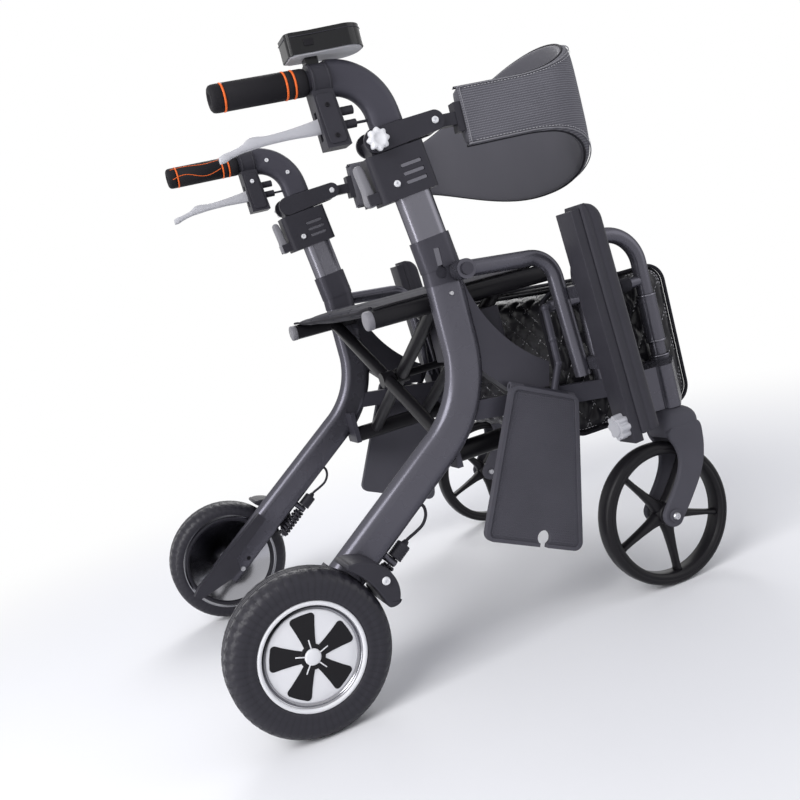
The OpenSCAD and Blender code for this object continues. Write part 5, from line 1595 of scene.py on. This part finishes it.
@dataclass
class CasterFork(SidePart):
    """The moulded caster fork: two smooth arms under a domed crown."""

    crown: float = 205.0
    top: float = 239.4
    inside: float = 18.0
    thick: float = 8.0
    eye_r: float = 16.0
    corner: float = 11.0

    def arm(self) -> List[Flat]:
        """An arm's outline in x and z, from the crown round the axle's eye and back."""
        front = [(573.0, 217.0), (594.0, 217.0), (600.5, 210.0), (600.4, 194.0), (598.0, 178.0), (592.0, 159.0),
                 (580.0, 138.0), (562.0, 115.5)]
        rear = [(523.0, 120.0), (540.0, 140.0), (551.0, 158.0), (555.5, 174.0), (553.0, 189.0), (547.5, 201.0),
                (546.0, 211.0), (553.0, 217.0)]
        eye = arc(CASTER_AT[0], CASTER_AT[2], self.eye_r, -30.0, -180.0, 6)
        return closed_curve(front + eye + rear, 5)

    def dome(self) -> MeshData:
        """The crown, drawn in towards its top."""
        rings: Rings = []
        reach, y = self.inside + self.thick - 0.7, CASTER_AT[1]
        for z, inset in ((self.crown - 1.0, 1.6), (self.crown + 0.6, 0.0), (221.0, 0.0), (226.0, 0.8),
                         (230.5, 2.6), (234.5, 5.6), (237.4, 9.2), (self.top, 14.0)):
            ring = rounded_box(STEER_X - 32.0 + inset, STEER_X + 24.0 - inset, y - reach + inset,
                               y + reach - inset, self.corner, 8)
            rings.append([at(px, self.sign * py, z) for px, py in ring])
        return lofted(rings)

    def build(self) -> None:
        """Makes the fork with its axle and steering stem."""
        y = CASTER_AT[1]
        low, end = -self.inside - 1, self.inside + self.thick
        made = [self.dome()]
        for face in (y + self.inside, y - end):
            made.append(slab(self.arm(), face, face + self.thick, 2.4, self.on_side))
        axle = [(low, AXIS), (low, 5.0), (end, 5.0), (end, 9.0), (end + 2.4, 9.0), (end + 3.0, 8.4),
                (end + 3.0, AXIS)]
        made.append(self.outward(axle, CASTER_AT, 48))
        stem = [(0, AXIS), (0, 8.0), (48.0, 8.0), (48.0, AXIS)]
        made.append(turned(stem, (STEER_X, self.sign * y, self.top - 1), (0, 0, 1), 40))
        self.add("fork_moulding", made, Look.TRAY, "fork", "grey_plastic", "caster_fork")


@dataclass
class CasterWheel(SidePart):
    """A moulded caster wheel: tyre, thin rim and five tapered spokes."""

    radius: float = 100.0
    half: float = 14.0
    spokes: int = 5
    first: float = radians(-17.0)

    def spoke(self, turn: float) -> MeshData:
        """One spoke from hub to rim, rounded all round."""
        rings: Rings = []
        mx, my, mz = CASTER_AT
        for r, wide, deep in ((9.0, 9.5, 11.5), (17.0, 9.0, 10.8), (28.0, 6.6, 9.6), (48.0, 4.9, 8.6),
                              (68.0, 3.9, 8.2), (79.0, 3.9, 8.6), (85.0, 5.2, 9.4)):
            ring = []
            for c, s in directions(16):
                x, z = swung(r, wide * bent(c, 0.8), turn)
                ring.append(self.on_side(mx + x, mz + z, my + deep * bent(s, 0.9)))
            rings.append(ring)
        return lofted(rings)

    def build(self) -> None:
        """Makes tyre, rim, spokes and hub as one moulding."""
        r, w = self.radius, self.half
        flank = [(0.0, 7.5), (0.8, 8.3), (0.8, 9.1), (0.0, 9.9), (0.0, 13.4), (1.2, 14.2), (2.0, 15.4),
                 (3.4, 16.6)]
        tread = [(-w, r - 7.5), (-w + 1.0, r - 3.4), (-w + 3.6, r - 1.0), (-5.0, r), (5.0, r),
                 (w - 3.6, r - 1.0), (w - 1.0, r - 3.4)]
        tread += [(w - inset, r - deep) for inset, deep in flank]
        tread += [(-w + inset, r - deep) for inset, deep in flank[:0:-1]]
        hub = [(-w, 5.2), (-w, 13.0), (-w + 1.5, 14.5), (-6.0, 15.5), (6.0, 15.5), (w - 1.5, 14.5),
               (w, 13.0), (w, 5.2)]
        made = [self.outward(tread, CASTER_AT, 144, True), self.outward(hub, CASTER_AT, 64, True)]
        made += [self.spoke(self.first + 2 * pi * k / self.spokes) for k in range(self.spokes)]
        self.add("caster_moulding", made, Look.CASTER, "caster", "wheel_black", "caster_wheel")


@dataclass
class StarKnob(SidePart):
    """The lobed knob on the backrest arm's pivot."""

    lobes: int = 8
    lobe_height: float = 1.4
    steps: int = 96
    y: float = 260.4
    pivot: Flat = on_post(-28.0, 177.36)

    def build(self) -> None:
        """Makes the knob, waisted under its lobes."""
        profile = [(0.0, AXIS), (0.0, 8.0), (1.0, 8.6), (2.6, 12.0), (4.0, 13.2), (10.0, 13.4), (12.4, 12.4),
                   (13.6, 9.8), (13.8, 7.2), (13.0, 6.4), (13.0, AXIS)]

        def lobe(i: int, j: int) -> float:
            """Radius change at a profile point and step."""
            wave = self.lobe_height * cos(2 * pi * self.lobes * j / self.steps)
            return wave if profile[i][1] > 11.5 else 0.0

        x, z = self.pivot
        knob = self.outward(profile, (x, self.y, z), self.steps, shift=lobe)
        self.add("star_knob", [knob], Look.WHITE, "arm_knob", "pale_plastic", "backrest_knob")


@dataclass
class FootTread(SidePart):
    """Tread pips on a footplate's tray, and ribs on the tipping pedal."""

    hinge: Flat = (450.0, 288.0)
    slope: float = radians(25.0)
    face: float = 269.1
    top: float = 104.0
    low: float = 146.0
    back: float = 4.0
    length: float = 206.0
    rise: float = 2.6
    notch: Flat = (-20.4, -193.0)
    notch_r: float = 12.5
    rows: int = 61
    ribs: int = 11

    def lay(self, x: float, z: float) -> Spot:
        """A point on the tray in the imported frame."""
        wx = self.hinge[0] + x * cos(self.slope) + z * sin(self.slope)
        wz = self.hinge[1] - x * sin(self.slope) + z * cos(self.slope)
        return self.on_side(wx, wz, self.face)

    def spans(self, z: float) -> List[Flat]:
        """Where a row of pips starts and ends, on both sides of the notch where it meets it."""
        share = (self.rise - z) / (self.length + self.rise)
        corner = 5.0 * max(1.0 - min(self.rise - 5.0 - z, z + self.length - 5.0) / 6.0, 0.0)
        x0 = -self.top + 8.0 - self.back * share + corner
        x1 = -8.0 + (self.low - self.top - self.back) * share - corner
        middle, end = self.notch
        reach = self.notch_r ** 2 - (z - end) ** 2
        half = sqrt(reach) if reach > 0 else (8.0 if z < end else 0.0)
        return [(x0, middle - half), (middle + half, x1)] if half else [(x0, x1)]

    def build(self) -> None:
        """Makes the pips and the ribs."""
        pips = BeadRows(self.side.name_of("foot_tread"), Look.TRAY, pitch=3.6, length=3.0, width=1.1)
        for z in (-5.4 - 3.2 * k for k in range(self.rows)):
            pips.lines += [[self.lay(x, z) for x in np.linspace(*span, 12)] for span in self.spans(z)]
        settle(pips.build(), Look.TRAY, self.side.name_of("foot"), "grey_plastic")
        ribs = BeadRows(self.side.name_of("pedal_ribs"), Look.NYLON, pitch=2.2, length=3.2, width=1.6)
        for x, z in (on_leg(-59.0 + 5.0 * k, -28.9 + 0.13 * k) for k in range(self.ribs)):
            ribs.lines.append([self.on_side(x, z, y) for y in np.linspace(213.5, 225.5, 6)])
        settle(ribs.build(), Look.NYLON, self.side.name_of("frame"), "black_plastic")


@dataclass
class FrameTrim(SidePart):
    """Small trim on one side: rail caps, brake cover, sleeve rings and screws."""

    eye: Flat = on_post(58.0, 177.377)
    bend_u: float = 209.86
    bend_r: float = 60.0

    def rail_caps(self) -> None:
        """Grey caps on the seat rail's two ends; a rail belongs to the other side's brace."""
        body = "cross_left" if self.side is Side.RIGHT else "cross_right"
        profile = [(-7.0, 12.62), (-6.4, 12.95), (1.2, 12.95), (2.4, 12.2), (3.0, 10.6), (3.0, AXIS)]
        caps = [turned(profile, (x, self.sign * RAIL_Y, RAIL_Z), (way, 0, 0), 48)
                for x, way in ((205.0, -1), (488.0, 1))]
        settle(new_object(self.side.name_of("rail_caps"), joined(caps)), Look.GREY, body, "pale_plastic")

    def brake_cover(self) -> None:
        """The crescent brake shoe over the tyre's edge, drawn in degrees and radius about the axle."""
        first, last, low = 13.0, 50.5, 108.0
        rim = []
        for share in (k / 40 for k in range(41)):
            swell = sin(pi * (0.14 + 0.86 * share ** 0.9))
            rim.append((first + (last - first) * share, low + 7.0 + 20.0 * max(swell, 0.0) ** 0.8))
        rim += [(last + 1.8 * cos(a), low + 3.5 + 3.5 * sin(a)) for a in np.linspace(1.2, -1.2, 7)]
        rim += [(a, low) for a in np.linspace(last, first, 30)]
        rim += [(first - 2.6 * cos(a), low + 9.5 + 9.5 * sin(a)) for a in np.linspace(-1.3, 1.2, 11)]
        outline = [(r * cos(radians(a)), DRIVE_R + r * sin(radians(a))) for a, r in rim]
        cover = slab(outline, 257.6, 314.6, 2.0, self.on_side)
        self.add("brake_cover", [cover], Look.NYLON, "shoe", "black_plastic", "brake_shoe")

    def slot_inlays(self) -> None:
        """The post's bright wall, seen in the clamp housing's slots."""
        made = []
        for u in (115.86, 126.86, 137.86):
            slot = arc(18.4, u, 2.4, -90.0, 180.0, 8) + arc(-6.4, u, 2.4, 90.0, 180.0, 8)
            outline = [on_post(*p) for p in slot]
            made += [slab(outline, low, low + 1.1, 0.3, self.on_side) for low in (258.2, 224.7)]
        self.add("slot_inlays", made, Look.SATIN, "frame", "satin_tube")

    def housing_covers(self) -> None:
        """Raised covers on the brake housing's two faces, and the seams of its clamp."""
        corners = ((222.0, 690.0, -90.0), (217.5, 741.0, 0.0), (205.0, 741.0, 90.0), (209.0, 690.0, 180.0))
        outline = [p for cx, cz, start in corners for p in arc(cx, cz, 5.0, start, 90.0, 6)]
        made = [slab(outline, low, high, 0.8, self.on_side) for low, high in ((255.6, 257.8), (226.2, 228.4))]
        ring = [(-1.4, 19.8), (-1.0, 20.7), (1.0, 20.7), (1.4, 19.8)]
        for x in (202.5, 223.0):
            made.append(turned(ring, (x, self.sign * LEG_Y, GRIP_Z), (1, 0, 0), 48, loop=True))
        self.add("housing_covers", made, Look.NYLON, "handle", "black_plastic")

    def sleeve_rings(self) -> None:
        """Bright rings at the ends of the front leg's sleeves."""
        ring = [(-1.6, 13.55), (-1.2, 14.3), (1.2, 14.3), (1.6, 13.55)]
        made = [turned(ring, (LOOP_X, self.sign * LOOP_Y, z), (0, 0, 1), 48, loop=True)
                for z in (305.0, 327.0, 393.5)]
        self.add("sleeve_rings", made, Look.SATIN, "frame", "satin_tube")

    def screws(self) -> None:
        """All screws of this side, one piece for each body and finish.

        A screw is its x and z, its distance y from the chair's middle, and 1 to face out or -1 in.
        """
        clamp, bend = on_post(-22.0, 119.0), arc(-self.bend_r, self.bend_u, self.bend_r, 22.0, 40.0, 1)
        axle = (CASTER_AT[0], CASTER_AT[2])
        sets = (
            ("frame_bolts", "frame", Look.WHITE, 4.4, 1.8,
             [(*clamp, 260.0, 1), (*clamp, 224.2, -1), (*on_leg(4.0, 16.0), 227.0, -1)]),
            ("frame_screws", "frame", Look.STEEL, 3.2, 1.4,
             [(512.0, 318.0, 249.2, 1), (512.0, 334.0, 249.2, 1), (LEG_X, 470.0, 257.0, 1)]),
            ("leg_plug", "frame", Look.RUBBER, 3.4, 0.8, [(*on_leg(24.0, 13.0), 227.0, -1)]),
            ("arm_pins", "arm", Look.WHITE, 4.6, 1.8, [(*self.eye, 260.0, 1)]),
            ("arm_pin_ends", "arm", Look.WHITE, 4.6, 0.4, [(*self.eye, 224.0, -1)]),
            ("handle_screws", "handle", Look.WHITE, 3.6, 1.5,
             [*((*on_post(*p), 229.2, -1) for p in bend), (212.0, 732.0, 226.2, -1)]),
            ("clamp_screws", "handle", Look.RUBBER, 3.0, 1.0,
             [(212.0, 732.0, 257.8, 1), (215.0, 694.0, 257.8, 1)]),
            ("shoe_bolt", "shoe", Look.WHITE, 5.2, 2.2, [(*on_leg(122.0, 18.0), 314.6, 1)]),
            ("caster_bolts", "fork", Look.STEEL, 5.4, 2.0, [(*axle, 317.0, 1), (*axle, 262.0, -1)]),
        )
        for name, body, look, radius, height, screws in sets:
            slot = "black_plastic" if look is Look.RUBBER else "pale_plastic"
            places = [((x, self.sign * y, z), (0, self.sign * way, 0)) for x, z, y, way in screws]
            names = (self.side.name_of(name), self.side.name_of(body))
            ScrewSet(*names, look, slot, radius, height, places).build()

    def build(self) -> None:
        """Makes all trim of the side."""
        for make in (self.rail_caps, self.brake_cover, self.slot_inlays, self.housing_covers, self.sleeve_rings,
                     self.screws):
            make()


@dataclass
class ControllerTrim:
    """Pale base plate, seam and port flap of the controller."""

    front: float = 281.87
    length: float = 102.0
    half: float = 27.0
    z: float = 795.0
    y: float = -LEG_Y
    body: str = "handle_right"

    def outline(self, inset: float) -> List[Flat]:
        """The controller's rounded outline, drawn in by inset."""
        cx, y = self.front - self.half, self.y
        back, w = self.front - self.length + inset, self.half - 6 - inset
        return arc(cx, y, self.half - inset, -90.0, 180.0, 18) + [
            (cx - 40, y + w + 1.0), (back + 6, y + w), (back, y + w - 6), (back, y - w + 6), (back + 6, y - w),
            (cx - 40, y - w - 1.0)]

    def build(self) -> None:
        """Makes the plate under the box, the seam round it and the flap on its flank."""
        plate = slab(self.outline(2.4), self.z - 1.8, self.z + 0.4, 0.5, at)
        settle(new_object("controller_base", plate), Look.PALE, self.body, "pale_plastic")
        rim = [at(x, y, self.z + 21.0) for x, y in self.outline(-0.1)]
        seam = new_object("controller_seam", tube(rim, 0.6, 6, closed=True))
        settle(seam, Look.NYLON, self.body, "gloss_black")
        flap = [(201.0, 803.0), (213.0, 803.0), (213.0, 811.0), (201.0, 811.0)]
        data = slab(flap, 20.4, 22.2, 0.5, lambda x, z, h: at(x, self.y - h, z))
        settle(new_object("port_flap", data), Look.RUBBER, self.body, "grip_rubber")


@dataclass
class Studio:
    """Camera, soft light and a plain pale floor."""

    eye: Spot = (-167.7, -1351.1, 500.8)
    focal_px: float = 914.0
    frame_px: float = 800.0
    vanish: Flat = (67.0, 370.0)
    pitch: float = radians(16.3)
    floor_r: float = 6000.0
    floor_z: float = -0.3

    def camera(self) -> None:
        """Puts the camera where the photograph was taken, tipped so that the chair leans as it does there."""
        half = self.frame_px / 2
        away = Vector((self.vanish[0] - half, self.vanish[1] - half, self.focal_px)).normalized()
        up = Vector((0, -1, 0))
        up = (up - away * up.dot(away)).normalized()
        flat = away.cross(up)
        if flat.x < 0:
            flat = -flat
        x = flat * cos(self.pitch) + up * sin(self.pitch)
        z = -flat * sin(self.pitch) + up * cos(self.pitch)
        right, down, ahead = (Vector((x[i], away[i], z[i])) for i in range(3))
        data = bpy.data.cameras.new("view")
        data.sensor_width = 36.0
        data.lens = self.focal_px / self.frame_px * data.sensor_width
        data.clip_start, data.clip_end = 0.05, 60.0
        obj = placed("view", data)
        turn = Matrix((right, -down, -ahead)).transposed()
        obj.matrix_world = Matrix.Translation(at(*self.eye)) @ turn.to_4x4()
        bpy.context.scene.camera = obj

    def lamp(self, name: str, place: Point, aim: Point, size: Flat, power: float) -> None:
        """Adds one soft lamp.

        Args:
            name: its name.
            place: where it hangs, in metres.
            aim: what it points at.
            size: its width and height in metres.
            power: its power in watts.
        """
        data = bpy.data.lights.new(name, "AREA")
        data.shape = "RECTANGLE"
        data.size, data.size_y, data.energy = size[0], size[1], power
        obj = placed(name, data)
        obj.location = place
        obj.rotation_euler = (Vector(aim) - Vector(place)).to_track_quat("-Z", "Y").to_euler()

    def seen_white(self, tree: bpy.types.NodeTree) -> Socket:
        """A socket that is 1 for rays that should meet a white background."""
        path = tree.nodes.new("ShaderNodeLightPath")
        total = path.outputs["Is Camera Ray"]
        for name in ("Is Glossy Ray", "Is Transmission Ray"):
            both = {0: total, 1: path.outputs[name]}
            total = add_node(tree, "ShaderNodeMath", both, {"operation": "ADD", "use_clamp": True}).outputs[0]
        return total

    def world(self) -> None:
        """A soft even sky, white to the camera."""
        world = bpy.data.worlds.new("studio")
        bpy.context.scene.world = world
        world.use_nodes = True
        tree = world.node_tree
        tree.nodes.clear()
        soft = add_node(tree, "ShaderNodeBackground", {"Color": (0.9, 0.92, 1.0, 1.0), "Strength": 0.5})
        white = add_node(tree, "ShaderNodeBackground", {"Color": (1, 1, 1, 1), "Strength": 1.0})
        mix = add_node(tree, "ShaderNodeMixShader", {
            0: self.seen_white(tree), 1: soft.outputs[0], 2: white.outputs[0]})
        add_node(tree, "ShaderNodeOutputWorld", {0: mix.outputs[0]})

    def floor(self) -> None:
        """A round pale floor that fades into the white background."""
        turns = np.linspace(0, 2 * pi, 97)[:-1]
        ring = [at(MID_X + self.floor_r * cos(a), self.floor_r * sin(a), self.floor_z) for a in turns]
        faces = [(0, i + 1, (i + 1) % 96 + 1) for i in range(96)]
        obj = new_object("floor", ([at(MID_X, 0, self.floor_z)] + ring, faces), tidy=False)
        shader = Shader("pale_floor")
        shader.bsdf.inputs["Base Color"].default_value = (0.86, 0.86, 0.88, 1.0)
        shader.bsdf.inputs["Roughness"].default_value = 0.6
        far = shader.node("ShaderNodeVectorMath", {0: shader.coords.outputs["Object"]}, operation="LENGTH")
        fade = shader.node("ShaderNodeMapRange", {
            "Value": far.outputs["Value"], "From Min": 0.55, "From Max": 1.6}, interpolation_type="SMOOTHSTEP")
        both = shader.maths("MULTIPLY", fade.outputs["Result"], self.seen_white(shader.tree))
        glow = shader.node("ShaderNodeEmission", {"Color": (1, 1, 1, 1)})
        mix = shader.node("ShaderNodeMixShader", {0: both, 1: shader.bsdf.outputs[0], 2: glow.outputs[0]})
        shader.link(mix.outputs[0], shader.tree.nodes["Material Output"].inputs["Surface"])
        obj.data.materials.append(shader.material)

    def build(self) -> None:
        """Sets up camera, light and floor."""
        bpy.context.scene.view_settings.view_transform = "Standard"
        self.camera()
        self.world()
        self.floor()
        self.lamp("key", (-1.8, -1.6, 2.1), (0.0, 0.0, 0.4), (1.4, 1.4), 44.0)
        self.lamp("fill", (2.2, -1.6, 1.2), (0.1, 0.0, 0.4), (1.8, 1.8), 11.0)
        self.lamp("back", (0.8, 2.2, 2.2), (0.0, 0.0, 0.45), (1.6, 1.6), 30.0)
        self.lamp("strip", (-1.9, -0.7, 0.9), (0.0, -0.2, 0.4), (0.4, 2.0), 17.0)


def dress_nodes() -> None:
    """Gives every CAD node the finish of its slot."""
    slots = {s["node"]: s["material_slot"] for s in frame["record"]["subparts"]}
    for name, obj in frame["nodes"].items():
        look = NODE_LOOKS.get(name.rsplit("_", 1)[0], CAD_LOOKS[slots[name]])
        obj.data.materials.clear()
        obj.data.materials.append(look.material())
        log.info("%s: %s", name, look.value.name)


def main() -> None:
    """Builds the studio, dresses the frame and makes every piece."""
    logging.basicConfig(level=logging.INFO, format="%(message)s")
    Studio().build()
    dress_nodes()
    for part in (Backrest, Seat, StorageBag, ControllerTrim):
        part().build()
    for side in Side:
        for part in (DriveWheel, Grip, HandLevers, BrakeLine, ArmrestPad, CasterFork, CasterWheel, StarKnob,
                     FootTread, FrameTrim):
            part(side).build()


if __name__ == "__main__":
    main()
